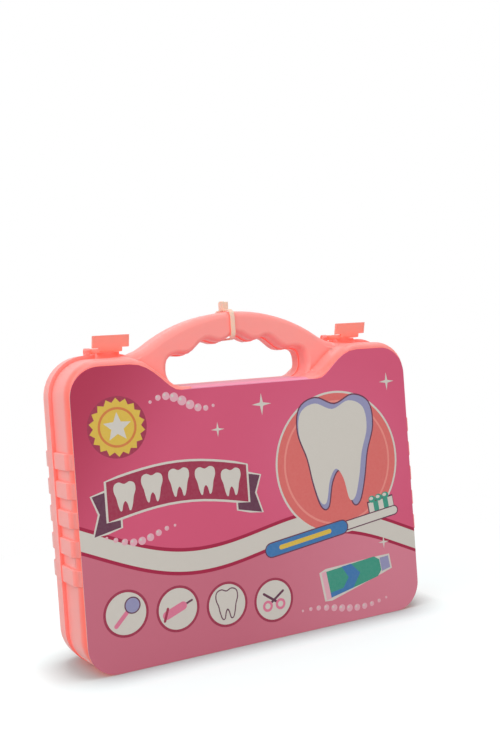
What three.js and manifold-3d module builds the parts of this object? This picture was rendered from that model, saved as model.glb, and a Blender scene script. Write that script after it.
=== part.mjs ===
// Toy dentist kit: a clamshell carry case with a scalloped handle, closed on its play tools.
// Millimetres, +Z up. The origin is on the floor, in the middle of the case. The card faces -Y.
import * as THREE from "three";
import { mergeVertices } from "three/addons/utils/BufferGeometryUtils.js";
import Module from "manifold-3d";

const wasm = await Module();
wasm.setup();

// Driving dimensions

const overrun = 1;
const samePoint = 0.001;
const sliver = 0.03;
const seat = 0.3;
const runningGap = 0.4;

const shell = {
  halfWidth: 129.5,
  top: 198.3,
  cornerRadius: 24,
  notchDepth: 20.8,
  shoulderSetback: 45.5,
  slopeRun: 36,
  wall: 2,
  seamGap: 0.3,
  frontDepth: 27.1,
  rearDepth: 28,
  draft: 0.9,
  roundDepth: 6,
  roundInset: 3.3,
  rearRoundInset: 5.5,
  slopeInset: 2,
  proud: 2.5,
  proudAtNotch: 0.8,
  bandDepth: 12,
};

const block = {
  count: 5,
  pitch: 18,
  height: 10.8,
  firstCentre: 63,
  raise: 1.8,
  chamfer: 3.2,
  endBevel: 0.8,
};

const floorRib = {
  count: 6,
  pitch: 36,
  width: 7,
  depth: 14,
};

const handle = {
  crestRise: 26.7,
  endRise: 5.88,
  thickness: 12,
  edgeRadius: 5,
  openingFlare: 3.5,
  gripThickness: 19.5,
  gripWave: 2.3,
  gripWaves: 4,
  gripEndMargin: 5,
  gripArch: 2,
  openingOverhang: 6,
  openingCorner: 9,
  endWallDrop: 10.3,
  endPost: 12,
  filletReach: 12,
  footDrop: 28.3,
};

const hinge = {
  axisHeight: 2.8,
  pinRadius: 1.2,
  knuckleCentre: 55,
  knuckleWidth: 14,
  lugWidth: 4,
  lugRadius: 2.5,
  slotDepth: 3.5,
  relief: 3.9,
};

const latch = {
  sideSetback: 37.5,
  strapWidth: 15.4,
  strapThickness: 2.4,
  barrelLength: 15.4,
  barrelRadius: 2,
  barrelSetback: 9,
  pinRadius: 1.1,
  pinLength: 3.2,
  lugWidth: 3.6,
  lugRadius: 2.4,
  reach: 20,
  tabWidth: 24.5,
  tabThickness: 2.2,
  tabHeight: 8.2,
  tabLean: 3,
  neckRise: 0.4,
  windowWidth: 8,
  windowLength: 4,
  windowFront: 4,
  catchWidth: 15,
  catchLength: 6,
  catchFront: 6.5,
  catchRamp: 2,
};

const card = {
  bottom: 0.3,
  sideMargin: 3.5,
  topMargin: 5.5,
  cornerMargin: 4.5,
  notchMargin: 3.5,
  notchSpread: 4,
  shoulderSpread: 2,
  thickness: 0.6,
  flapMargin: 4,
  flapTuck: 7,
  flapCorner: 6,
};

const tie = {
  centre: -4,
  width: 3,
  thickness: 1.2,
  looseness: 0.4,
  bendRadius: 4.6,
  headWidth: 4.8,
  headDepth: 5.6,
  headHeight: 6.2,
  tailLength: 0.6,
};

const jaw = {
  centreX: -66,
  hingeY: 15.5,
  halfWidth: 35,
  depth: 36.5,
  ridgeWidth: 13,
  gumHeight: 11,
  edgeBevel: 1.4,
  toothCount: 14,
  toothHeight: 7,
  toothWidth: 6.6,
  toothDepth: 7,
  toothTaperShare: 0.82,
  toothFoot: 1.6,
  biteGap: 0.5,
  pinRadius: 1.6,
  lugThickness: 4,
  lugRadius: 4,
  outerLugOffset: 27,
  crossBar: 8,
  shelf: 1.6,
  roundnessShare: 0.8,
  rowStartShare: 0.14,
};

const toolMargin = 11.5;

const syringe = {
  centreZ: 160,
  nozzleLength: 22,
  nozzleTipRadius: 1.6,
  nozzleRootRadius: 3.2,
  nozzleBore: 0.8,
  nozzleShoulder: 6,
  barrelRadius: 9,
  barrelLength: 70,
  barrelWall: 1.4,
  flangeRadius: 13,
  flangeThickness: 2.4,
  rodHalfWidth: 5,
  rodThickness: 1.8,
  rodLength: 71,
  discRadius: 6.6,
  discThickness: 1.6,
  thumbRadius: 10.5,
  thumbThickness: 2.6,
  sealRadius: 7.3,
  sealTipShare: 0.7,
  sealLength: 6,
  sealStart: 34,
  sealSpigot: 3.5,
};

const scissors = {
  sideSetback: 57.5,
  pivotZ: 81,
  plate: 2.4,
  pinRadius: 2,
  pinClearance: 0.3,
  headRadius: 4,
  headHeight: 1.4,
  bossRadius: 8,
  bladeLength: 56,
  bladeWidth: 11,
  shankLength: 24,
  shankWidth: 9,
  loopOuter: 17,
  loopInner: 11,
  loopDrop: 18,
  bellyShare: 0.6,
  heelShare: 0.7,
  stemShare: 0.2,
  forkShares: [0.6, 0.8],
};

const glasses = {
  centreX: 39,
  centreY: 1,
  ringOuter: 21,
  ringInner: 16.5,
  ringSpacing: 54,
  thickness: 3.5,
  bridgeWidth: 5,
  endLug: 7,
  lugThickness: 2,
  lugRadius: 3.2,
  eyeWidth: 4,
  eyeGap: 0.4,
  pinRadius: 1,
  pinClearance: 0.3,
  templeLevel: -9,
  leftPivotRise: 3.6,
  rightPivotRise: 8.2,
  templeLength: 93,
  templeThickness: 2.8,
  hookLength: 22,
  hookDrop: 9,
};

const mirror = {
  centreZ: 95,
  handleRadius: 4,
  handleLength: 92,
  neckRadius: 1.8,
  neckLength: 12,
  headRadius: 12,
  headThickness: 4,
  discRadius: 10,
  discThickness: 1,
  pocketDepth: 1.2,
  gripShares: [
    [0.8, 0.08],
    [0.7, 0.3],
    [1, 0.6],
    [0.75, 0.97],
  ],
};

const drill = {
  tipMargin: 29.2,
  centreZ: 121,
  bodyRadius: 9.5,
  bodyLength: 72,
  waistRadius: 7,
  collarRadius: 6,
  neckLength: 26,
  neckRadius: 4.2,
  headRadius: 5,
  headHeight: 12,
  burRadius: 1.2,
  burLength: 5,
  waistShares: [0.08, 0.3],
  bellyShares: [0.5, 0.85],
  endShares: [0.8, 0.97],
  neckTipShare: 0.8,
  neckShares: [0.5, 0.85],
};

const probe = {
  drillGap: 6,
  centreZ: 124,
  headRadius: 9.5,
  headLength: 30,
  capRadius: 6.5,
  capLength: 5,
  handleRadius: 7,
  sideMargin: 18.2,
  spigotRadius: 3,
  spigotLength: 6,
  gripShares: [
    [0.8, 0],
    [1, 0.2],
    [0.8, 0.5],
    [1, 0.85],
    [0.7, 0.98],
  ],
};

const brush = {
  centreZ: 140,
  length: 142,
  handleWidth: 11,
  neckWidth: 5,
  headWidth: 11,
  headLength: 28,
  thickness: 5,
  padThickness: 1.6,
  tuftRows: 3,
  tuftColumns: 7,
  tuftRadius: 1.2,
  tuftHeight: 8,
  tuftPitch: 3.2,
  neckEndShare: 0.42,
  bendShare: 0.55,
  gripStartShare: 0.7,
};

const tooth = {
  sideMargin: 8.5,
  spacing: 30,
  centreZ: 158,
  crownRadius: 13,
  crownHeight: 17,
  depth: 17,
  rootLength: 13,
  rootRadius: 4.2,
  rootSpread: 7,
  bevel: 1.2,
  sideShare: 0.35,
  cuspShare: 0.5,
  saddleShare: 0.84,
  waistShare: 0.95,
  rootBendShare: 0.5,
  rootTipShare: 0.6,
  forkShare: 0.7,
  crotchShare: 0.15,
};

// Sizes that follow from the driving ones

const notchFloor = shell.top - shell.notchDepth;
const crest = shell.top + handle.crestRise;
const endWallTop = shell.top - handle.endWallDrop;
const footBottom = shell.top - handle.footDrop;
const shoulderHalfWidth = shell.halfWidth - shell.shoulderSetback;
const notchHalfWidth = shoulderHalfWidth - shell.slopeRun;
const openingHalfWidth = notchHalfWidth + handle.openingOverhang;
const gripPitch = (2 * (openingHalfWidth - handle.gripEndMargin)) / handle.gripWaves;
const filletStart = openingHalfWidth + handle.endPost;
const footHalfWidth = filletStart + 2 * handle.filletReach;
const crestSag = handle.crestRise - handle.endRise;
const crestRadius = (filletStart ** 2 + crestSag ** 2) / (2 * crestSag);
const latchCentre = shell.halfWidth - latch.sideSetback;
const toolStart = -(shell.halfWidth - toolMargin);

// Finishes

const pinkMoulding = { color: "#f58f8c", roughness: 0.35, metalness: 0 };
const clearPink = { color: "#f07d86", roughness: 0.3, metalness: 0 };
const whiteMoulding = { color: "#f2efe9", roughness: 0.4, metalness: 0 };
const gumMoulding = { color: "#e8606c", roughness: 0.3, metalness: 0 };
const printedBoard = { color: "#c84e74", roughness: 0.45, metalness: 0 };
const naturalNylon = { color: "#f2dcc6", roughness: 0.4, metalness: 0 };
const greyMoulding = { color: "#c9c7c6", roughness: 0.45, metalness: 0 };
const silveredFilm = { color: "#d5d9dc", roughness: 0.08, metalness: 0.9 };

// Solids and meshes

function signedVolume(positions, index) {
  const corner = (k) => new THREE.Vector3().fromArray(positions, index[k] * 3);
  let sum = 0;
  for (let k = 0; k < index.length; k += 3) {
    sum += corner(k).dot(corner(k + 1).cross(corner(k + 2)));
  }
  return sum;
}

// A geometry as a closed solid, its faces turned outwards.
function solid(geometry) {
  const bare = geometry.clone();
  bare.deleteAttribute("normal");
  bare.deleteAttribute("uv");
  const merged = mergeVertices(bare);
  const positions = merged.attributes.position.array;
  const faces = [];
  for (let k = 0; k < merged.index.count; k += 3) {
    const [a, b, c] = [0, 1, 2].map((step) => merged.index.getX(k + step));
    if (a !== b && b !== c && c !== a) faces.push(a, b, c);
  }
  if (signedVolume(positions, faces) < 0) faces.reverse();
  const data = { numProp: 3, vertProperties: positions, triVerts: new Uint32Array(faces) };
  return new wasm.Manifold(new wasm.Mesh(data));
}

function unite(shapes) {
  return shapes.reduce((sum, shape) => sum.add(shape));
}

function cutFrom(shape, cutters) {
  return cutters.reduce((rest, cutter) => rest.subtract(cutter), shape);
}

function mesh(name, shape, finish) {
  const data = shape.simplify(sliver).getMesh();
  const geometry = new THREE.BufferGeometry();
  geometry.setAttribute("position", new THREE.BufferAttribute(data.vertProperties, 3));
  geometry.setIndex(new THREE.BufferAttribute(data.triVerts, 1));
  geometry.computeVertexNormals();
  const made = new THREE.Mesh(geometry, new THREE.MeshStandardMaterial(finish));
  made.name = name;
  return made;
}

// A profile in X and Z, made into a plate that ends at the given back plane.
function plateXZ(shape, back, thickness, curveSegments = 8) {
  const geometry = new THREE.ExtrudeGeometry(shape, {
    depth: thickness,
    bevelEnabled: false,
    curveSegments,
  });
  geometry.rotateX(Math.PI / 2);
  geometry.translate(0, back, 0);
  return solid(geometry);
}

// A profile in Y and Z, made into a bar across X.
function barX(shape, centre, width, curveSegments = 8) {
  const geometry = new THREE.ExtrudeGeometry(shape, {
    depth: width,
    bevelEnabled: false,
    curveSegments,
  });
  const turn = new THREE.Matrix4().makeBasis(
    new THREE.Vector3(0, 1, 0),
    new THREE.Vector3(0, 0, 1),
    new THREE.Vector3(1, 0, 0),
  );
  geometry.applyMatrix4(turn);
  geometry.translate(centre - width / 2, 0, 0);
  return solid(geometry);
}

// A profile in X and Y, standing on the given level.
function slabZ(shape, bottom, height, curveSegments = 8, bevel = 0) {
  const geometry = new THREE.ExtrudeGeometry(shape, {
    depth: height - 2 * bevel,
    bevelEnabled: bevel > 0,
    bevelThickness: bevel,
    bevelSize: bevel,
    bevelOffset: -bevel,
    bevelSegments: 2,
    curveSegments,
  });
  geometry.translate(0, 0, bottom + bevel);
  return solid(geometry);
}

function boxBetween(low, high) {
  const size = high.map((value, k) => value - low[k]);
  const geometry = new THREE.BoxGeometry(...size);
  geometry.translate(...high.map((value, k) => (value + low[k]) / 2));
  return solid(geometry);
}

function rodAlong(axis, radius, length, centre, sides = 20) {
  const geometry = new THREE.CylinderGeometry(radius, radius, length, sides);
  if (axis === "x") geometry.rotateZ(-Math.PI / 2);
  if (axis === "z") geometry.rotateX(Math.PI / 2);
  geometry.translate(...centre);
  return solid(geometry);
}

// A turned piece whose profile is given as pairs of radius and distance along X.
function turnedAlongX(profile, start, y, z, sides = 24) {
  const points = profile.map(([radius, along]) => new THREE.Vector2(radius, along));
  const geometry = new THREE.LatheGeometry(points, sides);
  geometry.rotateZ(-Math.PI / 2);
  geometry.translate(start, y, z);
  return solid(geometry);
}

// A solid through rings of equal count, closed by a flat cap at each end.
function loft(rings) {
  const count = rings[0].length;
  const positions = rings.flat().flatMap((point) => point.toArray());
  const index = [];
  for (let ring = 0; ring + 1 < rings.length; ring += 1) {
    for (let i = 0; i < count; i += 1) {
      const here = ring * count + i;
      const next = ring * count + ((i + 1) % count);
      index.push(here, next, next + count, here, next + count, here + count);
    }
  }
  const flat = (ring) => ring.map((point) => new THREE.Vector2(point.x, point.z));
  const last = (rings.length - 1) * count;
  for (const [a, b, c] of THREE.ShapeUtils.triangulateShape(flat(rings[0]), [])) {
    index.push(c, b, a);
  }
  for (const [a, b, c] of THREE.ShapeUtils.triangulateShape(flat(rings.at(-1)), [])) {
    index.push(last + a, last + b, last + c);
  }
  const geometry = new THREE.BufferGeometry();
  geometry.setAttribute("position", new THREE.Float32BufferAttribute(positions, 3));
  geometry.setIndex(index);
  return solid(geometry);
}

// Outlines in X and Z

// The points of a closed outline moved along their outward normals. The outline runs
// counter-clockwise as seen from the front.
function offset(points, amountAt) {
  const count = points.length;
  return points.map((point, i) => {
    const before = points[(i + count - 1) % count];
    const after = points[(i + 1) % count];
    const inDirection = point.clone().sub(before).normalize();
    const outDirection = after.clone().sub(point).normalize();
    const inNormal = new THREE.Vector2(inDirection.y, -inDirection.x);
    const outNormal = new THREE.Vector2(outDirection.y, -outDirection.x);
    const normal = inNormal.add(outNormal).normalize();
    const spread = normal.x * outNormal.x + normal.y * outNormal.y;
    return point.clone().addScaledVector(normal, amountAt(point, normal, i) / spread);
  });
}

// The points of a path, without those that fall on the one before.
function openPoints(path, divisions) {
  const points = path.getPoints(divisions);
  return points.filter((point, i) => point.distanceTo(points.at(i - 1)) > samePoint);
}

// A rounded rectangle with a notch in its top edge that a smooth curve leads into.
function casePath(size) {
  const { halfWidth, bottom, top, cornerRadius, notchFloor, notchEnd, shoulderEnd } = size;
  const run = shoulderEnd - notchEnd;
  const sweepShare = 0.5;
  const easeShare = 0.28;
  const upper = shoulderEnd - run * sweepShare;
  const lower = notchEnd + run * easeShare;
  const path = new THREE.Path();
  path.moveTo(-halfWidth + cornerRadius, bottom);
  path.lineTo(halfWidth - cornerRadius, bottom);
  path.absarc(halfWidth - cornerRadius, bottom + cornerRadius, cornerRadius, -Math.PI / 2, 0);
  path.lineTo(halfWidth, top - cornerRadius);
  path.absarc(halfWidth - cornerRadius, top - cornerRadius, cornerRadius, 0, Math.PI / 2);
  path.lineTo(shoulderEnd, top);
  path.bezierCurveTo(upper, top, lower, notchFloor, notchEnd, notchFloor);
  path.lineTo(-notchEnd, notchFloor);
  path.bezierCurveTo(-lower, notchFloor, -upper, top, -shoulderEnd, top);
  path.lineTo(-halfWidth + cornerRadius, top);
  path.absarc(-halfWidth + cornerRadius, top - cornerRadius, cornerRadius, Math.PI / 2, Math.PI);
  path.lineTo(-halfWidth, bottom + cornerRadius);
  path.absarc(-halfWidth + cornerRadius, bottom + cornerRadius, cornerRadius, Math.PI, 1.5 * Math.PI);
  return path;
}

const frontRim = openPoints(
  casePath({
    ...shell,
    notchFloor,
    bottom: 0,
    notchEnd: notchHalfWidth,
    shoulderEnd: shoulderHalfWidth,
  }),
  5,
);

// How much a point belongs to the slope between the shoulder and the notch, from 0 to 1.
function slopeShare(point) {
  const across = Math.abs(point.x);
  const inside = across > notchHalfWidth && across < shoulderHalfWidth;
  if (!inside || point.y < notchFloor - overrun) return 0;
  return Math.sin((Math.PI * (across - notchHalfWidth)) / shell.slopeRun);
}

// The rear rim stands proud of the front one, except underneath, where the two are flush.
function proudAt(point, normal) {
  const high = point.y > notchFloor - overrun;
  const inNotch = high && Math.abs(point.x) < shoulderHalfWidth;
  const along = (Math.abs(point.x) - notchHalfWidth) / shell.slopeRun;
  const blend = THREE.MathUtils.smoothstep(along, 0, 1);
  const upper = THREE.MathUtils.lerp(shell.proudAtNotch, shell.proud, blend);
  return inNotch ? upper : shell.proud * (1 - Math.max(0, -normal.y));
}

const rearRim = offset(frontRim, proudAt);

// A shallow quarter of an ellipse at the end of a wall, as pairs of depth and inset.
function edgeRound(depth, roundDepth, roundInset, draft, steps = 4) {
  return Array.from({ length: steps }, (unused, k) => {
    const angle = ((k + 1) / steps) * (Math.PI / 2);
    return {
      depth: depth - roundDepth * (1 - Math.sin(angle)),
      inset: draft + roundInset * (1 - Math.cos(angle)),
    };
  });
}

const frontProfile = [
  { depth: shell.seamGap / 2, inset: 0 },
  { depth: shell.frontDepth - shell.roundDepth, inset: shell.draft },
  ...edgeRound(shell.frontDepth, shell.roundDepth, shell.roundInset, shell.draft),
];

const rearProfile = [
  { depth: shell.seamGap / 2, inset: 0, step: 0 },
  { depth: shell.bandDepth, inset: 0, step: 0 },
  { depth: shell.bandDepth, inset: 0, step: 1 },
  { depth: shell.rearDepth - shell.roundDepth, inset: shell.draft, step: 1 },
  ...edgeRound(shell.rearDepth, shell.roundDepth, shell.rearRoundInset, shell.draft),
];

// A drafted moulding over a rim, hollow or solid. Direction is -1 towards the front.
function moulding(rim, profile, direction, wall = 0) {
  const fullDepth = profile.at(-1).depth;
  const rings = profile.map(({ depth, inset, step = 1 }, k) => {
    const slope = (shell.slopeInset * depth) / fullDepth;
    const points = offset(rim, (point, normal) => {
      const stepInset = direction > 0 ? step * proudAt(point, normal) : 0;
      return -(wall + inset + stepInset + slope * slopeShare(point));
    });
    const inner = k === 0 ? -overrun : Math.max(depth - wall, -overrun);
    const level = wall > 0 ? inner : depth;
    return points.map((point) => new THREE.Vector3(point.x, direction * level, point.y));
  });
  return loft(rings);
}

// Ribs on the side walls

function blockOutline(side, direction, depth, thin) {
  const reach = shell.halfWidth + block.raise - thin;
  const root = shell.halfWidth - shell.wall - shell.draft - 2 * block.endBevel - thin;
  const front = depth - thin - (thin > 0 ? overrun : 0);
  const corner = depth - shell.roundDepth - thin;
  const start = thin > 0 ? -overrun : shell.seamGap / 2;
  const points = [
    [root, start],
    [reach, start],
    [reach - shell.draft, corner],
    [reach - shell.draft - block.chamfer, front],
    [root, front],
  ];
  return new THREE.Shape(points.map(([x, y]) => new THREE.Vector2(side * x, direction * y)));
}

function sideBlocks(direction, depth, thin) {
  const blocks = [];
  for (const side of [-1, 1]) {
    for (let k = 0; k < block.count; k += 1) {
      const centre = block.firstCentre + k * block.pitch;
      const height = block.height - 2 * thin;
      const outline = blockOutline(side, direction, depth, thin);
      blocks.push(slabZ(outline, centre - height / 2, height, 1, block.endBevel));
    }
  }
  return blocks;
}

// Ribs along the inside of the hinge wall

function floorRibs(direction, depth) {
  const ribs = [];
  for (let k = 0; k < floorRib.count; k += 1) {
    const centre = (k - (floorRib.count - 1) / 2) * floorRib.pitch;
    const far = depth - shell.wall - overrun;
    const near = far - floorRib.depth;
    const ends = [direction * near, direction * far].sort((a, b) => a - b);
    const low = [centre - floorRib.width / 2, ends[0], shell.wall / 2];
    const high = [centre + floorRib.width / 2, ends[1], 2 * hinge.axisHeight];
    ribs.push(boxBetween(low, high));
  }
  return ribs;
}

// Handle

function crestAt(x) {
  return crest - crestRadius + Math.sqrt(crestRadius ** 2 - x ** 2);
}

function gripEdgeAt(x) {
  const wave = handle.gripWave * Math.cos((2 * Math.PI * x) / gripPitch);
  const arch = (handle.gripArch / 2) * (1 + Math.cos((Math.PI * x) / openingHalfWidth));
  return crestAt(x) - handle.gripThickness + wave + arch;
}

const handleOutline = (() => {
  const steps = 20;
  const points = [new THREE.Vector2(-footHalfWidth, footBottom)];
  points.push(new THREE.Vector2(footHalfWidth, footBottom));
  const start = new THREE.Vector2(footHalfWidth, shell.top);
  const end = new THREE.Vector2(filletStart, crestAt(filletStart));
  const slope = filletStart / (end.y - crest + crestRadius);
  const knee = new THREE.Vector2(end.x + (end.y - shell.top) / slope, shell.top);
  const fillet = new THREE.QuadraticBezierCurve(start, knee, end).getPoints(4);
  points.push(...fillet);
  for (let k = 1; k < steps; k += 1) {
    const x = filletStart * (1 - (2 * k) / steps);
    points.push(new THREE.Vector2(x, crestAt(x)));
  }
  points.push(...fillet.map((point) => new THREE.Vector2(-point.x, point.y)).reverse());
  return points;
})();

const openingOutline = (() => {
  const { openingCorner } = handle;
  const stepsPerWave = 8;
  const scallopEnd = (handle.gripWaves * gripPitch) / 2;
  const path = new THREE.Path();
  const floor = notchFloor;
  path.moveTo(-openingHalfWidth + openingCorner, floor);
  path.lineTo(openingHalfWidth - openingCorner, floor);
  const cornerX = openingHalfWidth - openingCorner;
  path.absarc(cornerX, floor + openingCorner, openingCorner, -Math.PI / 2, 0);
  path.lineTo(openingHalfWidth, endWallTop);
  const endHeight = gripEdgeAt(scallopEnd);
  const bend = endHeight - handle.gripWave / 2;
  path.quadraticCurveTo(openingHalfWidth, bend, scallopEnd, endHeight);
  const steps = handle.gripWaves * stepsPerWave;
  for (let k = 1; k <= steps; k += 1) {
    const x = scallopEnd * (1 - (2 * k) / steps);
    path.lineTo(x, gripEdgeAt(x));
  }
  path.quadraticCurveTo(-openingHalfWidth, bend, -openingHalfWidth, endWallTop);
  path.lineTo(-openingHalfWidth, floor + openingCorner);
  path.absarc(-cornerX, floor + openingCorner, openingCorner, Math.PI, 1.5 * Math.PI);
  return openPoints(path, 4);
})();

// The finger opening as a cutter. Its edge flares at the handle's face.
function openingCutter(direction, wall) {
  const proud = direction > 0 ? shell.proudAtNotch : 0;
  const rounds = edgeRound(handle.thickness, handle.edgeRadius, handle.openingFlare, 0);
  const levels = [
    { depth: -overrun, inset: 0 },
    { depth: handle.thickness - handle.edgeRadius, inset: 0 },
    ...rounds,
    { depth: handle.thickness + overrun, inset: handle.openingFlare },
  ];
  const rings = levels.map(({ depth, inset }) => {
    const points = offset(openingOutline, () => wall - proud + inset);
    return points.map((point) => new THREE.Vector3(point.x, direction * depth, point.y));
  });
  return loft(rings);
}

// One half of the handle, solid or as the hollow inside it.
function handleArch(direction, wall) {
  const profile = [
    { depth: shell.seamGap / 2, inset: 0 },
    { depth: handle.thickness - handle.edgeRadius, inset: 0 },
    ...edgeRound(handle.thickness, handle.edgeRadius, handle.edgeRadius, 0),
  ];
  const rings = profile.map(({ depth, inset }, k) => {
    const points = offset(handleOutline, () => -(wall + inset));
    const inner = k === 0 ? -overrun : depth - wall;
    const level = wall > 0 ? inner : depth;
    return points.map((point) => new THREE.Vector3(point.x, direction * level, point.y));
  });
  return loft(rings).subtract(openingCutter(direction, wall));
}

// Hinge

function disc(radius, y, z) {
  const shape = new THREE.Shape();
  shape.absarc(y, z, radius, 0, 2 * Math.PI);
  return shape;
}

const hingeHalfWidth = shell.halfWidth - shell.cornerRadius;
const lugOffset = (hinge.knuckleWidth + hinge.lugWidth) / 2 + runningGap;
const lugCentres = [-1, 1].flatMap((side) =>
  [-1, 1].map((end) => side * hinge.knuckleCentre + end * lugOffset),
);

// The front half's nose round the hinge axis, bored for the rear half's pins.
function hingeNose(shape) {
  const nose = barX(disc(hinge.axisHeight, 0, hinge.axisHeight), 0, 2 * hingeHalfWidth);
  const slots = lugCentres.map((centre) => {
    const half = hinge.lugWidth / 2 + runningGap;
    const low = [centre - half, -hinge.slotDepth, -overrun];
    const high = [centre + half, hinge.axisHeight + overrun, 3 * hinge.axisHeight];
    return boxBetween(low, high);
  });
  const bore = hinge.pinRadius + seat;
  const length = hinge.knuckleWidth + 2 * (hinge.lugWidth + 2 * runningGap);
  const bores = [-1, 1].map((side) =>
    rodAlong("x", bore, length, [side * hinge.knuckleCentre, 0, hinge.axisHeight]),
  );
  return cutFrom(shape.add(nose), [...slots, ...bores]);
}

// The rear half's relief, lugs and pins.
function hingeLugs(shape) {
  const reach = hingeHalfWidth + shell.cornerRadius / 2;
  const low = [-reach, -overrun, -overrun];
  const relieved = shape.subtract(boxBetween(low, [reach, hinge.relief, 2 * hinge.axisHeight]));
  const lugs = lugCentres.flatMap((centre) => {
    const half = hinge.lugWidth / 2;
    const low = [centre - half, 0, hinge.axisHeight - hinge.lugRadius];
    const high = [centre + half, hinge.relief + overrun, hinge.axisHeight + hinge.lugRadius / 2];
    const eye = barX(disc(hinge.lugRadius, 0, hinge.axisHeight), centre, hinge.lugWidth);
    return [eye, boxBetween(low, high)];
  });
  const pins = [-1, 1].map((side) => {
    const length = hinge.knuckleWidth + 2 * (runningGap + hinge.lugWidth / 2);
    return rodAlong("x", hinge.pinRadius, length, [side * hinge.knuckleCentre, 0, hinge.axisHeight]);
  });
  return unite([relieved, ...lugs, ...pins]);
}

// Latches

const bandTop = shell.top + shell.proud;
const barrelHeight = bandTop + runningGap + latch.barrelRadius;
const strapBottom = barrelHeight - latch.strapThickness / 2;
const lugOuter = latch.barrelLength / 2 + runningGap + latch.lugWidth;

function latchLugs(side) {
  const lugs = [-1, 1].flatMap((end) => {
    const centre = side * latchCentre + end * (lugOuter - latch.lugWidth / 2);
    const half = latch.lugWidth / 2;
    const eye = barX(disc(latch.lugRadius, latch.barrelSetback, barrelHeight), centre, latch.lugWidth);
    const low = [centre - half, latch.barrelSetback - latch.lugRadius, bandTop - shell.wall];
    const high = [centre + half, latch.barrelSetback + latch.lugRadius, barrelHeight];
    return [eye, boxBetween(low, high)];
  });
  const length = 2 * (lugOuter + overrun);
  const centre = [side * latchCentre, latch.barrelSetback, barrelHeight];
  const half = latch.catchWidth / 2;
  const padFront = shell.seamGap + runningGap;
  const padBack = latch.barrelSetback - latch.barrelRadius - 2 * runningGap;
  const pad = boxBetween(
    [side * latchCentre - half, padFront, bandTop - shell.wall],
    [side * latchCentre + half, padBack, strapBottom - seat],
  );
  return { lugs: [...lugs, pad], bore: rodAlong("x", latch.pinRadius + seat, length, centre) };
}

function latchCatch(side) {
  const low = shell.top - shell.wall;
  const high = strapBottom - seat;
  const front = -latch.catchFront;
  const back = front + latch.catchLength;
  const outline = new THREE.Shape();
  outline.moveTo(front, low);
  outline.lineTo(back, low);
  outline.lineTo(back, high);
  outline.lineTo(front + latch.catchRamp, high);
  outline.lineTo(front, shell.top);
  return barX(outline, side * latchCentre, latch.catchWidth);
}

function latchSolid(side) {
  const centre = side * latchCentre;
  const back = latch.barrelSetback;
  const front = back - latch.reach;
  const strapTop = strapBottom + latch.strapThickness;
  const half = latch.strapWidth / 2;
  const strap = boxBetween([centre - half, front, strapBottom], [centre + half, back, strapTop]);
  const window = boxBetween(
    [centre - latch.windowWidth / 2, front + latch.windowFront, strapBottom - overrun],
    [centre + latch.windowWidth / 2, front + latch.windowFront + latch.windowLength, strapTop + overrun],
  );
  const barrel = rodAlong("x", latch.barrelRadius, latch.barrelLength, [centre, back, barrelHeight]);
  const pinSpan = latch.barrelLength + 2 * (runningGap + latch.pinLength);
  const pins = rodAlong("x", latch.pinRadius, pinSpan, [centre, back, barrelHeight]);
  const tabTop = strapTop + latch.tabHeight;
  const leanAt = (height) => (latch.tabLean * (height - strapBottom)) / (tabTop - strapBottom);
  const leaning = (low) => {
    const outline = new THREE.Shape();
    outline.moveTo(front + latch.tabThickness - leanAt(low), low);
    outline.lineTo(front + latch.tabThickness - latch.tabLean, tabTop);
    outline.lineTo(front - latch.tabLean, tabTop);
    outline.lineTo(front - leanAt(low), low);
    return outline;
  };
  const neck = barX(leaning(strapBottom), centre, latch.strapWidth);
  const tab = barX(leaning(strapTop + latch.neckRise), centre, latch.tabWidth);
  return cutFrom(unite([strap, barrel, pins, neck, tab]), [window]);
}

// Case halves

function frontShell() {
  const outside = unite([
    moulding(frontRim, frontProfile, -1),
    handleArch(-1, 0),
    ...sideBlocks(-1, shell.frontDepth, 0),
  ]);
  const inside = unite([
    moulding(frontRim, frontProfile, -1, shell.wall),
    handleArch(-1, shell.wall),
    ...sideBlocks(-1, shell.frontDepth, shell.wall),
  ]);
  const hollow = outside.subtract(inside);
  const catches = [-1, 1].map((side) => latchCatch(side));
  return hingeNose(unite([hollow, ...floorRibs(-1, shell.frontDepth), ...catches]));
}

function rearShell() {
  const outside = unite([
    moulding(rearRim, rearProfile, 1),
    handleArch(1, 0),
    ...sideBlocks(1, shell.rearDepth, 0),
  ]);
  const inside = unite([
    moulding(rearRim, rearProfile, 1, shell.wall),
    handleArch(1, shell.wall),
    ...sideBlocks(1, shell.rearDepth, shell.wall),
  ]);
  const hollow = outside.subtract(inside);
  const sets = [-1, 1].map((side) => latchLugs(side));
  const withLugs = unite([hollow, ...sets.flatMap((set) => set.lugs), ...floorRibs(1, shell.rearDepth)]);
  return hingeLugs(cutFrom(withLugs, sets.map((set) => set.bore)));
}

// Printed card with its flap folded back through the handle

const cardBack = -shell.frontDepth - seat;

const cardSize = {
  halfWidth: shell.halfWidth - card.sideMargin,
  bottom: card.bottom,
  top: shell.top - card.topMargin,
  cornerRadius: shell.cornerRadius - card.cornerMargin,
  notchFloor: notchFloor - card.notchMargin,
  notchEnd: notchHalfWidth + card.notchSpread,
  shoulderEnd: shoulderHalfWidth + card.shoulderSpread,
};
const flapHalfWidth = notchHalfWidth - card.flapMargin;

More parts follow.
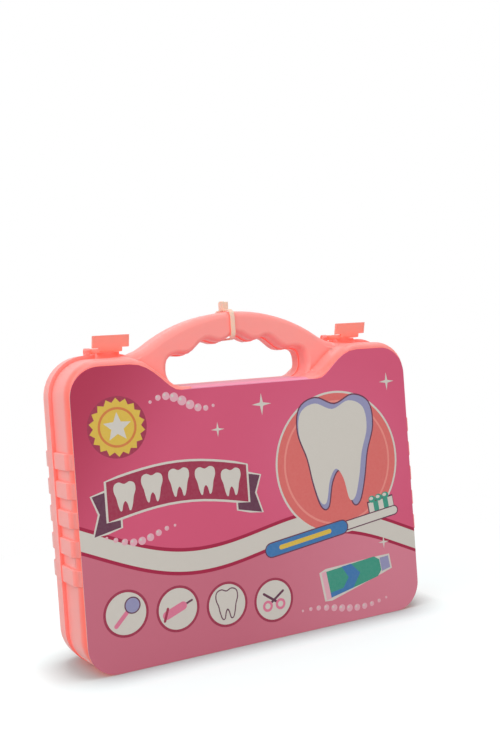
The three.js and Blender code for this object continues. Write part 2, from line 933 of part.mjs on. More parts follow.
function printedCard() {
  const outline = new THREE.Shape(openPoints(casePath(cardSize), 8));
  const panel = plateXZ(outline, cardBack, card.thickness);
  const front = cardBack - card.thickness;
  const rearFloor = notchFloor + shell.proudAtNotch + seat;
  const under = frontProfile.map(({ depth, inset }) => {
    const share = Math.max(0, 1 - (shell.frontDepth - depth) / shell.roundDepth);
    return [-depth - seat * share, notchFloor - inset + seat];
  });
  const over = under.map(([y, z]) => [Math.max(y - card.thickness / 2, front), z + card.thickness]);
  const lower = [
    [front, cardSize.notchFloor - card.thickness],
    [cardBack, cardSize.notchFloor - card.thickness],
    ...under.slice(1).reverse(),
    [0, rearFloor],
    [card.flapTuck, rearFloor],
  ];
  const upper = [
    [card.flapTuck, rearFloor + card.thickness],
    [0, rearFloor + card.thickness],
    ...over.slice(1),
  ];
  const profile = new THREE.Shape([...lower, ...upper].map(([y, z]) => new THREE.Vector2(y, z)));
  const flap = barX(profile, 0, 2 * flapHalfWidth);
  const trim = new THREE.Shape();
  const corner = card.flapCorner;
  const [left, right] = [-flapHalfWidth, flapHalfWidth];
  trim.moveTo(left, front - overrun);
  trim.lineTo(right, front - overrun);
  trim.lineTo(right, card.flapTuck - corner);
  trim.absarc(right - corner, card.flapTuck - corner, corner, 0, Math.PI / 2);
  trim.absarc(left + corner, card.flapTuck - corner, corner, Math.PI / 2, Math.PI);
  const keep = slabZ(trim, footBottom, crest - footBottom);
  return panel.add(flap.intersect(keep));
}

// Cable tie round both halves of the handle

function roundedBox(left, right, bottom, top, radius) {
  const shape = new THREE.Shape();
  shape.moveTo(left + radius, bottom);
  shape.absarc(right - radius, bottom + radius, radius, -Math.PI / 2, 0);
  shape.absarc(right - radius, top - radius, radius, 0, Math.PI / 2);
  shape.absarc(left + radius, top - radius, radius, Math.PI / 2, Math.PI);
  shape.absarc(left + radius, bottom + radius, radius, Math.PI, 1.5 * Math.PI);
  return shape;
}

function cableTie() {
  const edges = [-1, 1].map((end) => tie.centre + (end * tie.width) / 2);
  const lowest = Math.min(...edges.map((x) => gripEdgeAt(x))) - shell.proudAtNotch;
  const side = handle.thickness + tie.looseness;
  const bottom = lowest - tie.looseness;
  const top = crest + tie.looseness;
  const outer = roundedBox(
    -side - tie.thickness,
    side + tie.thickness,
    bottom - tie.thickness,
    top + tie.thickness,
    tie.bendRadius + tie.thickness,
  );
  const inner = roundedBox(-side, side, bottom, top, tie.bendRadius);
  const band = barX(outer, tie.centre, tie.width, 4);
  const hole = barX(inner, tie.centre, tie.width + overrun, 4);
  const headBottom = top + tie.thickness / 2;
  const headTop = headBottom + tie.headHeight;
  const head = boxBetween(
    [tie.centre - tie.headWidth / 2, -tie.headDepth / 2, headBottom],
    [tie.centre + tie.headWidth / 2, tie.headDepth / 2, headTop],
  );
  const tail = boxBetween(
    [tie.centre - tie.width / 2, tie.headDepth / 2 - tie.thickness, headBottom],
    [tie.centre + tie.width / 2, (tie.headDepth + tie.thickness) / 2, headTop + tie.tailLength],
  );
  return unite([band.subtract(hole), head, tail]);
}

// Jaw model

const jawFloor = 2 * hinge.axisHeight + seat;
const lowerTop = jawFloor + jaw.gumHeight;
const bite = lowerTop + seat + jaw.toothHeight + jaw.biteGap / 2;
const upperBottom = 2 * bite - lowerTop;

// The middle line of the dental arch, from one end round the front to the other.
function archPoint(share, inset) {
  const angle = Math.PI * share;
  const radius = jaw.halfWidth - inset;
  const depth = jaw.depth - inset;
  const x = jaw.centreX + radius * Math.cos(angle);
  const y = jaw.hingeY - depth * Math.sin(angle) ** jaw.roundnessShare;
  return new THREE.Vector2(x, y);
}

function archShape(width, inset) {
  const steps = 22;
  const shares = Array.from({ length: steps + 1 }, (unused, k) => k / steps);
  const outer = shares.map((share) => archPoint(share, inset));
  const inner = shares.map((share) => archPoint(1 - share, inset + width));
  return new THREE.Shape([...outer, ...inner]);
}

function gum(bottom, direction) {
  const arch = slabZ(archShape(jaw.ridgeWidth, 0), bottom, jaw.gumHeight, 8, jaw.edgeBevel);
  const shelfBottom = direction > 0 ? bottom : bottom + jaw.gumHeight - jaw.shelf;
  const palate = slabZ(archShape(jaw.halfWidth - overrun, overrun), shelfBottom, jaw.shelf);
  const half = jaw.halfWidth - jaw.edgeBevel;
  const bar = boxBetween(
    [jaw.centreX - half, jaw.hingeY - jaw.crossBar, bottom + jaw.edgeBevel],
    [jaw.centreX + half, jaw.hingeY, bottom + jaw.gumHeight - jaw.edgeBevel],
  );
  return unite([arch, palate, bar]);
}

function jawLugs(offsetX, bottom, top) {
  return [-1, 1].flatMap((side) => {
    const centre = jaw.centreX + side * offsetX;
    const half = jaw.lugThickness / 2;
    const eye = barX(disc(jaw.lugRadius, jaw.hingeY, bite), centre, jaw.lugThickness);
    const low = [centre - half, jaw.hingeY - jaw.lugRadius, bottom];
    const high = [centre + half, jaw.hingeY + jaw.lugRadius, top];
    return [eye, boxBetween(low, high)];
  });
}

function jawBore() {
  const length = 2 * (jaw.outerLugOffset + jaw.lugThickness);
  return rodAlong("x", jaw.pinRadius + seat, length, [jaw.centreX, jaw.hingeY, bite]);
}

const innerLugOffset = jaw.outerLugOffset - jaw.lugThickness - runningGap;

function lowerGum() {
  const lugs = jawLugs(jaw.outerLugOffset, lowerTop - jaw.gumHeight / 2, bite);
  return unite([gum(jawFloor, 1), ...lugs]).subtract(jawBore());
}

function upperGum() {
  const lugs = jawLugs(innerLugOffset, bite, upperBottom + jaw.gumHeight / 2);
  return unite([gum(upperBottom, -1), ...lugs]).subtract(jawBore());
}

// A row of teeth on one strip. Direction is 1 for the lower row.
function teethRow(foot, direction) {
  const inset = (jaw.ridgeWidth - jaw.toothDepth) / 2;
  const stripBottom = direction > 0 ? foot : foot - jaw.toothFoot;
  const firstShare = jaw.rowStartShare;
  const stepShare = 0.01;
  const strip = slabZ(rowStrip(inset, firstShare), stripBottom, jaw.toothFoot);
  const teeth = [];
  for (let k = 0; k < jaw.toothCount; k += 1) {
    const share = firstShare + ((1 - 2 * firstShare) * k) / (jaw.toothCount - 1);
    const at = archPoint(share, jaw.ridgeWidth / 2);
    const next = archPoint(share + stepShare, jaw.ridgeWidth / 2);
    const angle = Math.atan2(next.y - at.y, next.x - at.x);
    const geometry = new THREE.CylinderGeometry(
      (jaw.toothWidth / 2) * jaw.toothTaperShare,
      jaw.toothWidth / 2,
      jaw.toothHeight,
      8,
    );
    geometry.rotateX((direction * Math.PI) / 2);
    geometry.scale(1, jaw.toothDepth / jaw.toothWidth, 1);
    geometry.rotateZ(angle);
    geometry.translate(at.x, at.y, foot + (direction * jaw.toothHeight) / 2);
    teeth.push(solid(geometry));
  }
  return unite([strip, ...teeth]);
}

function rowStrip(inset, firstShare) {
  const steps = 20;
  const share = (k) => firstShare + ((1 - 2 * firstShare) * k) / steps;
  const outer = Array.from({ length: steps + 1 }, (unused, k) => archPoint(share(k), inset));
  const inner = Array.from({ length: steps + 1 }, (unused, k) =>
    archPoint(share(steps - k), inset + jaw.toothDepth),
  );
  return new THREE.Shape([...outer, ...inner]);
}

function jawPin() {
  const length = 2 * jaw.outerLugOffset + jaw.lugThickness;
  return rodAlong("x", jaw.pinRadius, length, [jaw.centreX, jaw.hingeY, bite]);
}

// Syringe

const backWall = shell.rearDepth - shell.wall - seat;
const syringeY = backWall - syringe.flangeRadius;
const barrelStart = toolStart + syringe.nozzleLength + seat;

function syringeNozzle() {
  const { nozzleBore, nozzleTipRadius, nozzleRootRadius, nozzleLength, nozzleShoulder } = syringe;
  const { barrelRadius } = syringe;
  const profile = [
    [nozzleBore, 0],
    [nozzleTipRadius, 0],
    [nozzleRootRadius, nozzleLength - nozzleShoulder],
    [barrelRadius, nozzleLength - nozzleShoulder / 2],
    [barrelRadius, nozzleLength],
    [nozzleBore, nozzleLength],
    [nozzleBore, 0],
  ];
  return turnedAlongX(profile, toolStart, syringeY, syringe.centreZ);
}

function syringeBarrel() {
  const { barrelRadius, barrelWall, barrelLength, flangeRadius, flangeThickness, nozzleBore } = syringe;
  const bore = barrelRadius - barrelWall;
  const profile = [
    [nozzleBore, 0],
    [barrelRadius, 0],
    [barrelRadius, barrelLength - flangeThickness],
    [flangeRadius, barrelLength - flangeThickness],
    [flangeRadius, barrelLength],
    [bore, barrelLength],
    [bore, barrelWall],
    [nozzleBore, barrelWall],
    [nozzleBore, 0],
  ];
  return turnedAlongX(profile, barrelStart, syringeY, syringe.centreZ);
}

const sealStart = barrelStart + syringe.sealStart;
const spigotStart = sealStart + syringe.sealLength - syringe.sealSpigot;

function plungerSeal() {
  const { sealRadius, sealLength, sealSpigot, rodThickness } = syringe;
  const hole = rodThickness + seat;
  const profile = [
    [0, 0],
    [sealRadius * syringe.sealTipShare, 0],
    [sealRadius, sealLength / 3],
    [sealRadius, sealLength],
    [hole, sealLength],
    [hole, sealLength - sealSpigot - seat],
    [0, sealLength - sealSpigot - seat],
  ];
  return turnedAlongX(profile, sealStart, syringeY, syringe.centreZ);
}

function plungerRod() {
  const { rodHalfWidth, rodThickness, rodLength, discRadius, discThickness } = syringe;
  const discStart = sealStart + syringe.sealLength + seat;
  const [y, z] = [syringeY, syringe.centreZ];
  const spigot = rodAlong("x", rodThickness, discStart - spigotStart + overrun, [
    (discStart + spigotStart + overrun) / 2,
    y,
    z,
  ]);
  const disc = rodAlong("x", discRadius, discThickness, [discStart + discThickness / 2, y, z]);
  const end = discStart + rodLength;
  const half = rodThickness / 2;
  const flat = boxBetween([discStart, y - rodHalfWidth, z - half], [end, y + rodHalfWidth, z + half]);
  const upright = boxBetween([discStart, y - half, z - rodHalfWidth], [end, y + half, z + rodHalfWidth]);
  const thumb = rodAlong("x", syringe.thumbRadius, syringe.thumbThickness, [end, y, z], 28);
  return unite([spigot, disc, flat, upright, thumb]);
}

// Scissors

function scissorOutline(flip) {
  const { bladeLength, bladeWidth, shankLength, loopDrop, bossRadius } = scissors;
  const { bellyShare, heelShare, stemShare, forkShares } = scissors;
  const heel = flip * bladeWidth * heelShare;
  const shape = new THREE.Shape();
  shape.moveTo(-bladeLength, 0);
  shape.quadraticCurveTo(-bladeLength * bellyShare, flip * bladeWidth, -bossRadius, heel);
  shape.lineTo(bossRadius, flip * -bossRadius * stemShare);
  shape.lineTo(shankLength, flip * -(loopDrop - scissors.shankWidth));
  shape.lineTo(shankLength, flip * -loopDrop);
  shape.lineTo(bossRadius * forkShares[0], flip * -bossRadius * forkShares[1]);
  shape.lineTo(-bossRadius, 0);
  return shape;
}

const scissorBack = backWall - scissors.headHeight;
const scissorX = shell.halfWidth - scissors.sideSetback;

function scissorHalf(flip, back) {
  const { plate, loopOuter, loopInner, shankLength, loopDrop, bossRadius } = scissors;
  const place = (shape) => shape.translate([scissorX, 0, scissors.pivotZ]);
  const body = place(plateXZ(scissorOutline(flip), back, plate));
  const boss = rodAlong("y", bossRadius, plate, [scissorX, back - plate / 2, scissors.pivotZ]);
  const loopX = scissorX + shankLength + loopInner;
  const loopZ = scissors.pivotZ - flip * loopDrop;
  const outer = rodAlong("y", loopOuter, plate, [loopX, back - plate / 2, loopZ], 28);
  const inner = rodAlong("y", loopInner, plate + overrun, [loopX, back - plate / 2, loopZ], 28);
  const bore = rodAlong("y", scissors.pinRadius + scissors.pinClearance, 2 * plate + overrun, [
    scissorX,
    back - plate / 2,
    scissors.pivotZ,
  ]);
  return cutFrom(unite([body, boss, outer]), [inner, bore]);
}

const rearBladeBack = scissorBack - seat;
const frontBladeBack = rearBladeBack - scissors.plate - seat;

function scissorRivet() {
  const { pinRadius, headRadius, headHeight, plate, pivotZ } = scissors;
  const front = frontBladeBack - plate - seat;
  const length = scissorBack - front + headHeight;
  const pin = rodAlong("y", pinRadius, length, [scissorX, (scissorBack + front) / 2, pivotZ]);
  const heads = [scissorBack + headHeight / 2, front - headHeight / 2].map((y) =>
    rodAlong("y", headRadius, headHeight, [scissorX, y, pivotZ]),
  );
  return unite([pin, ...heads]);
}

// Glasses

const framesBottom = jawFloor;
const framesTop = framesBottom + glasses.thickness;
const pivotSpan = glasses.ringSpacing / 2 + glasses.ringOuter + glasses.endLug - glasses.lugRadius;
const leftPivot = { x: glasses.centreX - pivotSpan, z: framesTop + glasses.leftPivotRise };
const rightPivot = { x: glasses.centreX + pivotSpan, z: framesTop + glasses.rightPivotRise };
const lugSpacing = glasses.eyeWidth / 2 + glasses.eyeGap + glasses.lugThickness / 2;

function glassesLugs(pivot) {
  const half = glasses.lugThickness / 2;
  return [-1, 1].flatMap((end) => {
    const y = glasses.templeLevel + end * lugSpacing;
    const eye = rodAlong("y", glasses.lugRadius, glasses.lugThickness, [pivot.x, y, pivot.z]);
    const low = [pivot.x - glasses.lugRadius, y - half, framesBottom];
    return [eye, boxBetween(low, [pivot.x + glasses.lugRadius, y + half, pivot.z])];
  });
}

function glassesFrame() {
  const { centreX, centreY, ringOuter, ringInner, ringSpacing, thickness, bridgeWidth } = glasses;
  const wingY = [-1, 1].map((side) => glasses.templeLevel + side * lugSpacing);
  const ringX = [-1, 1].map((side) => centreX + (side * ringSpacing) / 2);
  const height = framesBottom + thickness / 2;
  const rims = ringX.map((x) => rodAlong("z", ringOuter, thickness, [x, centreY, height], 32));
  const deep = thickness + overrun;
  const holes = ringX.map((x) => rodAlong("z", ringInner, deep, [x, centreY, height], 32));
  const bridge = boxBetween(
    [ringX[0], centreY - bridgeWidth, framesBottom],
    [ringX[1], centreY, framesTop],
  );
  const wings = [leftPivot, rightPivot].map((pivot) => {
    const inner = pivot.x < centreX ? ringX[0] : ringX[1];
    const low = [Math.min(pivot.x - glasses.lugRadius, inner), wingY[0], framesBottom];
    const high = [Math.max(pivot.x + glasses.lugRadius, inner), wingY[1], framesTop];
    return boxBetween(low, high);
  });
  const lugs = [leftPivot, rightPivot].flatMap((pivot) => glassesLugs(pivot));
  const bores = [leftPivot, rightPivot].map((pivot) => pinRod(pivot, seat / 2, 2 * overrun));
  return cutFrom(unite([...rims, bridge, ...wings, ...lugs]), [...holes, ...bores]);
}

function pinRod(pivot, clearance, extra) {
  const length = 2 * lugSpacing + glasses.lugThickness + extra;
  return rodAlong("y", glasses.pinRadius + clearance, length, [pivot.x, glasses.templeLevel, pivot.z]);
}

// A temple standing up from its pivot, with its ear hook bent along Y.
function temple(pivot) {
  const { templeLevel, templeThickness, templeLength, hookLength, hookDrop, eyeWidth } = glasses;
  const half = eyeWidth / 2;
  const straight = pivot.z + templeLength - hookLength;
  const end = pivot.z + templeLength;
  const side = new THREE.Shape();
  side.moveTo(templeLevel - half, pivot.z);
  side.lineTo(templeLevel + half, pivot.z);
  side.lineTo(templeLevel + half, straight);
  side.quadraticCurveTo(templeLevel + half, end - hookLength / 2, templeLevel + hookDrop + half, end);
  side.lineTo(templeLevel + hookDrop - half, end);
  side.quadraticCurveTo(templeLevel - half, end - hookLength / 3, templeLevel - half, straight);
  const arm = barX(side, pivot.x, templeThickness);
  const eye = rodAlong("y", glasses.lugRadius, eyeWidth, [pivot.x, templeLevel, pivot.z]);
  const bore = rodAlong("y", glasses.pinRadius + glasses.pinClearance, eyeWidth + overrun, [
    pivot.x,
    templeLevel,
    pivot.z,
  ]);
  return arm.add(eye).subtract(bore);
}

// Mouth mirror

// The points of a turned grip, from pairs of shares of its radius and of its length.
function gripPoints(shares, radius, length) {
  return shares.map(([wide, along]) => [wide * radius, along * length]);
}

const mirrorY = backWall - mirror.headThickness / 2;
const mirrorX = toolStart + mirror.headRadius;

function mirrorHandle() {
  const { centreZ, handleRadius, handleLength, neckRadius, neckLength, headRadius } = mirror;
  const neckStart = mirrorX + headRadius - overrun;
  const handleStart = mirrorX + headRadius + neckLength;
  const neck = rodAlong("x", neckRadius, neckLength + 2 * overrun, [
    (neckStart + handleStart + overrun) / 2,
    mirrorY,
    centreZ,
  ]);
  const profile = [
    [0, 0],
    [neckRadius, 0],
    ...gripPoints(mirror.gripShares, handleRadius, handleLength),
    [0, handleLength],
  ];
  const grip = turnedAlongX(profile, handleStart, mirrorY, centreZ, 16);
  const head = rodAlong("y", headRadius, mirror.headThickness, [mirrorX, mirrorY, centreZ], 32);
  const front = [mirrorX, mirrorY - mirror.headThickness / 2, centreZ];
  const pocket = rodAlong("y", mirror.discRadius + seat, 2 * mirror.pocketDepth, front, 32);
  const flush = boxBetween(
    [handleStart - overrun, mirrorY + mirror.headThickness / 2, centreZ - headRadius],
    [handleStart + handleLength + overrun, shell.rearDepth, centreZ + headRadius],
  );
  return cutFrom(unite([neck, grip, head]), [pocket, flush]);
}

function mirrorDisc() {
  const bottom = mirrorY - mirror.headThickness / 2 + mirror.pocketDepth - seat;
  const centre = [mirrorX, bottom - mirror.discThickness / 2, mirror.centreZ];
  return rodAlong("y", mirror.discRadius, mirror.discThickness, centre, 32);
}

// Drill handpiece

const drillY = backWall - drill.bodyRadius;
const drillBodyStart = -shell.halfWidth + drill.tipMargin + drill.neckLength + seat;
const drillEnd = drillBodyStart + drill.bodyLength;

function drillBody() {
  const { bodyRadius, bodyLength, waistRadius, collarRadius, endShares } = drill;
  const profile = [
    [0, 0],
    [collarRadius, 0],
    ...drill.waistShares.map((share) => [waistRadius, bodyLength * share]),
    ...drill.bellyShares.map((share) => [bodyRadius, bodyLength * share]),
    [bodyRadius * endShares[0], bodyLength * endShares[1]],
    [0, bodyLength],
  ];
  return turnedAlongX(profile, drillBodyStart, drillY, drill.centreZ);
}

function drillNeck() {
  const { collarRadius, neckLength, neckRadius, headRadius, headHeight, centreZ } = drill;
  const { neckTipShare, neckShares } = drill;
  const start = drillBodyStart - seat - neckLength;
  const profile = [
    [0, 0],
    [neckRadius * neckTipShare, 0],
    [neckRadius, neckLength * neckShares[0]],
    [collarRadius, neckLength * neckShares[1]],
    [collarRadius, neckLength],
    [0, neckLength],
  ];
  const neck = turnedAlongX(profile, start, drillY, centreZ);
  const head = rodAlong("z", headRadius, headHeight, [start, drillY, centreZ]);
  return neck.add(head);
}

function drillBur() {
  const x = drillBodyStart - seat - drill.neckLength;
  const top = drill.centreZ - drill.headHeight / 2 - seat;
  return rodAlong("z", drill.burRadius, drill.burLength, [x, drillY, top - drill.burLength / 2], 12);
}

// Polisher with a round head

const probeY = backWall - probe.headRadius;
const probeStart = drillEnd + probe.drillGap;
const probeHandleStart = probeStart + probe.headLength + probe.capLength + seat;

function probeHead() {
  const { headRadius, headLength, capRadius, capLength, spigotRadius, spigotLength } = probe;
  const length = headLength + capLength;
  const hole = spigotRadius + seat;
  const profile = [
    [0, 0],
    [capRadius, 0],
    [capRadius, capLength],
    [headRadius, capLength],
    [headRadius, length],
    [hole, length],
    [hole, length - spigotLength - seat],
    [0, length - spigotLength - seat],
  ];
  return turnedAlongX(profile, probeStart, probeY, probe.centreZ);
}

function probeHandle() {
  const { handleRadius, spigotRadius, spigotLength, gripShares } = probe;
  const length = shell.halfWidth - probe.sideMargin - probeHandleStart;
  const profile = [
    [0, -spigotLength],
    [spigotRadius, -spigotLength],
    [spigotRadius, 0],
    ...gripPoints(gripShares, handleRadius, length),
    [0, length],
  ];
  return turnedAlongX(profile, probeHandleStart, probeY, probe.centreZ);
}

// Toothbrush

function brushHandle() {
  const { centreZ, length, handleWidth, neckWidth, headWidth, headLength, thickness } = brush;
  const half = headWidth / 2;
  const neck = neckWidth / 2;
  const grip = handleWidth / 2;
  const [neckEnd, bend, gripStart] = [
    brush.neckEndShare * length,
    brush.bendShare * length,
    brush.gripStartShare * length,
  ];
  const outline = new THREE.Shape();
  outline.moveTo(half, -half);
  outline.lineTo(headLength - half, -half);
  outline.quadraticCurveTo(headLength, -half, headLength + half, -neck);
  outline.lineTo(neckEnd, -neck);
  outline.quadraticCurveTo(bend, -grip, gripStart, -grip);
  outline.lineTo(length - grip, -grip);
  outline.absarc(length - grip, 0, grip, -Math.PI / 2, Math.PI / 2);
  outline.lineTo(gripStart, grip);
  outline.quadraticCurveTo(bend, grip, neckEnd, neck);
  outline.lineTo(headLength + half, neck);
  outline.quadraticCurveTo(headLength, half, headLength - half, half);
  outline.lineTo(half, half);
  outline.absarc(half, 0, half, Math.PI / 2, 1.5 * Math.PI);
  return plateXZ(outline, backWall, thickness).translate([toolStart, 0, centreZ]);
}

function brushBristles() {
  const { centreZ, headLength, headWidth, thickness, padThickness } = brush;
  const back = backWall - thickness - seat;
  const margin = brush.tuftRadius;
  const low = [toolStart + margin, back - padThickness, centreZ - headWidth / 2 + margin];
  const high = [toolStart + headLength - margin, back, centreZ + headWidth / 2 - margin];
  const tufts = [boxBetween(low, high)];
  const middle = toolStart + headLength / 2;
  for (let row = 0; row < brush.tuftRows; row += 1) {
    for (let column = 0; column < brush.tuftColumns; column += 1) {
      const x = middle + (column - (brush.tuftColumns - 1) / 2) * brush.tuftPitch;
      const z = centreZ + (row - (brush.tuftRows - 1) / 2) * brush.tuftPitch;
      const y = back - padThickness / 2 - brush.tuftHeight / 2;
      tufts.push(rodAlong("y", brush.tuftRadius, brush.tuftHeight, [x, y, z], 6));
    }
  }
  return unite(tufts);
}

// Play teeth

function playTooth(index) {
  const { crownRadius, crownHeight, rootLength, rootRadius, rootSpread, depth, bevel } = tooth;
  const side = crownHeight * tooth.sideShare;
  const cusp = crownRadius * tooth.cuspShare;
  const saddle = crownHeight * tooth.saddleShare;
  const waist = crownRadius * tooth.waistShare;
  const rootBend = -rootLength * tooth.rootBendShare;
  const rootTip = rootSpread + rootRadius * tooth.rootTipShare;
  const rootOuter = rootSpread + rootRadius;
  const fork = -rootLength * tooth.forkShare;
  const outline = new THREE.Shape();
  outline.moveTo(-crownRadius, side);
  outline.quadraticCurveTo(-crownRadius, crownHeight, -cusp, crownHeight);
  outline.quadraticCurveTo(0, saddle, cusp, crownHeight);
  outline.quadraticCurveTo(crownRadius, crownHeight, crownRadius, side);
  outline.quadraticCurveTo(waist, 0, rootOuter, rootBend);
  outline.quadraticCurveTo(rootTip, -rootLength, rootSpread, -rootLength);
  outline.quadraticCurveTo(rootSpread - rootRadius, fork, 0, -rootLength * tooth.crotchShare);
  outline.quadraticCurveTo(rootRadius - rootSpread, fork, -rootSpread, -rootLength);
  outline.quadraticCurveTo(-rootTip, -rootLength, -rootOuter, rootBend);
  outline.quadraticCurveTo(-waist, 0, -crownRadius, side);
  const geometry = new THREE.ExtrudeGeometry(outline, {
    depth: depth - 2 * bevel,
    bevelThickness: bevel,
    bevelSize: bevel,
    bevelOffset: -bevel,
    bevelSegments: 2,
    curveSegments: 5,
  });
  geometry.rotateX(Math.PI / 2);
  const last = shell.halfWidth - tooth.sideMargin - crownRadius;
  geometry.translate(last - index * tooth.spacing, backWall - bevel, tooth.centreZ);
  return solid(geometry);
}

// Assembly

const kit = new THREE.Group();
const rearHalf = new THREE.Group();
const frontHalf = new THREE.Group();
const tools = new THREE.Group();

rearHalf.add(
  mesh("rear_shell", rearShell(), pinkMoulding),
  mesh("latch_left", latchSolid(-1), clearPink),
  mesh("latch_right", latchSolid(1), clearPink),
  mesh("cable_tie", cableTie(), naturalNylon),
);
frontHalf.add(
  mesh("front_shell", frontShell(), pinkMoulding),
  mesh("printed_card", printedCard(), printedBoard),
);
tools.add(
  mesh("lower_gum", lowerGum(), gumMoulding),
  mesh("lower_teeth", teethRow(lowerTop + seat, 1), whiteMoulding),
  mesh("upper_gum", upperGum(), gumMoulding),
  mesh("upper_teeth", teethRow(upperBottom - seat, -1), whiteMoulding),
  mesh("jaw_pin", jawPin(), whiteMoulding),
  mesh("syringe_nozzle", syringeNozzle(), clearPink),
  mesh("syringe_barrel", syringeBarrel(), whiteMoulding),
  mesh("plunger_seal", plungerSeal(), greyMoulding),
  mesh("plunger_rod", plungerRod(), clearPink),
  mesh("scissor_half_fixed", scissorHalf(-1, rearBladeBack), greyMoulding),
  mesh("scissor_half_moving", scissorHalf(1, frontBladeBack), greyMoulding),
  mesh("scissor_rivet", scissorRivet(), whiteMoulding),
  mesh("glasses_frame", glassesFrame(), clearPink),
  mesh("glasses_pin_left", pinRod(leftPivot, 0, 0), whiteMoulding),
  mesh("glasses_pin_right", pinRod(rightPivot, 0, 0), whiteMoulding),
  mesh("temple_left", temple(leftPivot), clearPink),
  mesh("temple_right", temple(rightPivot), clearPink),
  mesh("mirror_handle", mirrorHandle(), whiteMoulding),
  mesh("mirror_disc", mirrorDisc(), silveredFilm),
  mesh("drill_body", drillBody(), clearPink),
  mesh("drill_neck", drillNeck(), whiteMoulding),
  mesh("drill_bur", drillBur(), greyMoulding),
  mesh("polisher_head", probeHead(), whiteMoulding),
  mesh("polisher_handle", probeHandle(), clearPink),
  mesh("brush_handle", brushHandle(), clearPink),
  mesh("brush_bristles", brushBristles(), whiteMoulding),
  mesh("play_tooth_left", playTooth(1), whiteMoulding),
  mesh("play_tooth_right", playTooth(0), whiteMoulding),
);
kit.add(rearHalf, frontHalf, tools);

export default kit;
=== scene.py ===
"""A toy dentist kit: a closed pink carry case with a printed card, latches and a cable tie.

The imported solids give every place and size. This script dresses them: it smooths the
mouldings, prints the card, and adds the floor, the lamps and the camera.
"""

import logging
import math
from dataclasses import dataclass, field
from enum import Enum
from functools import partial

import bmesh
import bpy
from mathutils import Matrix, Vector


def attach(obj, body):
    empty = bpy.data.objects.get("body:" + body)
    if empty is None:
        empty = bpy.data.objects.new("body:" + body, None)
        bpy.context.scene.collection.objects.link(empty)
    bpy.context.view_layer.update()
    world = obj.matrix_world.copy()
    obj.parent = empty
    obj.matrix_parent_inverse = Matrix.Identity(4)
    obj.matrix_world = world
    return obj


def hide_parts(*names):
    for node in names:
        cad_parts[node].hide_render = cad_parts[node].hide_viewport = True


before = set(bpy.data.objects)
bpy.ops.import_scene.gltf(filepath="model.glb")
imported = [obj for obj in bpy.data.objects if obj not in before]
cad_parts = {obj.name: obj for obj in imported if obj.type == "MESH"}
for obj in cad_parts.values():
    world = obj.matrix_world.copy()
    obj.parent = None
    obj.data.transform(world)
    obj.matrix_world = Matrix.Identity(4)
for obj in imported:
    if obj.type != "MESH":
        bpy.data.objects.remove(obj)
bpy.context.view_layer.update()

MM = 0.001
# The photograph's height in pixels.
IMAGE_HEIGHT = 750
# Corners nearer than this, in millimetres, are one, and faces that turn less, in degrees,
# are one flat face.
SAME_POINT = 0.002
FLAT_TURN = 0.5
# The ink and the board have the same thin coat of varnish.
VARNISH_IOR = 1.45

# The floor of the handle's notch: how far it reaches from the middle, the length over which
# its sag fades out, and pairs of a height in the solids and the sagged height there.
NOTCH_END = 54.0
NOTCH_FADE = 10.0
SAG_LEVELS = ((170.0, 170.0), (174.0, 174.6), (180.0, 177.2), (186.0, 186.0))

# The turn that lays a cylinder along Y, and the one that spreads points evenly on a disc.
ALONG_Y = (math.pi / 2, 0.0, 0.0)
GOLDEN_TURN = math.pi * (3 - math.sqrt(5))

# The type name of a sum's node.
SUM = "ShaderNodeMath"

Node = bpy.types.Node
NodeTree = bpy.types.NodeTree
Socket = bpy.types.NodeSocket

log = logging.getLogger("dentist_kit")


# Small tools


def linear(colour: str) -> tuple[float, float, float, float]:
    """Turns an sRGB hex colour into linear values.

    Args:
        colour: Six hex digits after a hash sign.

    Returns:
        Red, green, blue and alpha.
    """
    shares = [int(colour[k : k + 2], 16) / 255 for k in (1, 3, 5)]
    turned = [c / 12.92 if c <= 0.04045 else ((c + 0.055) / 1.055) ** 2.4 for c in shares]
    return (*turned, 1.0)


def mesh_object(name: str, mesh: bpy.types.Mesh) -> bpy.types.Object:
    """Puts a mesh into the scene as an object at the origin.

    Args:
        name: The object's name.
        mesh: Its mesh, in the row frame.

    Returns:
        The new object.
    """
    made = bpy.data.objects.new(name, mesh)
    bpy.context.scene.collection.objects.link(made)
    return made


def flattened(source: bpy.types.Object, name: str) -> bpy.types.Object:
    """Applies an object's modifiers and replaces it by the plain result.

    Args:
        source: The object with live modifiers. It is removed.
        name: The name of the result.

    Returns:
        The plain object.
    """
    graph = bpy.context.evaluated_depsgraph_get()
    mesh = bpy.data.meshes.new_from_object(source.evaluated_get(graph))
    bpy.data.objects.remove(source, do_unlink=True)
    return mesh_object(name, mesh)


def add_node(tree: NodeTree, kind: str, inputs: dict | None = None, **settings: object) -> Node:
    """Adds a node with its settings and links.

    Args:
        tree: The node tree that takes the node.
        kind: The node's type name.
        inputs: Each input's name or number, with what it gets: a constant, a socket, a node
            that gives its first output in use, or a sum as a list of its operation and terms.
        **settings: The node's own properties.

    Returns:
        The new node.
    """
    node = tree.nodes.new(kind)
    for name, value in settings.items():
        setattr(node, name, value)
    for key, value in (inputs or {}).items():
        if isinstance(value, list):
            value = add_node(tree, SUM, dict(enumerate(value[1:])), operation=value[0])
        if isinstance(value, Node):
            value = next(output for output in value.outputs if output.enabled)
        if isinstance(value, Socket):
            tree.links.new(value, node.inputs[key])
        else:
            node.inputs[key].default_value = value
    return node


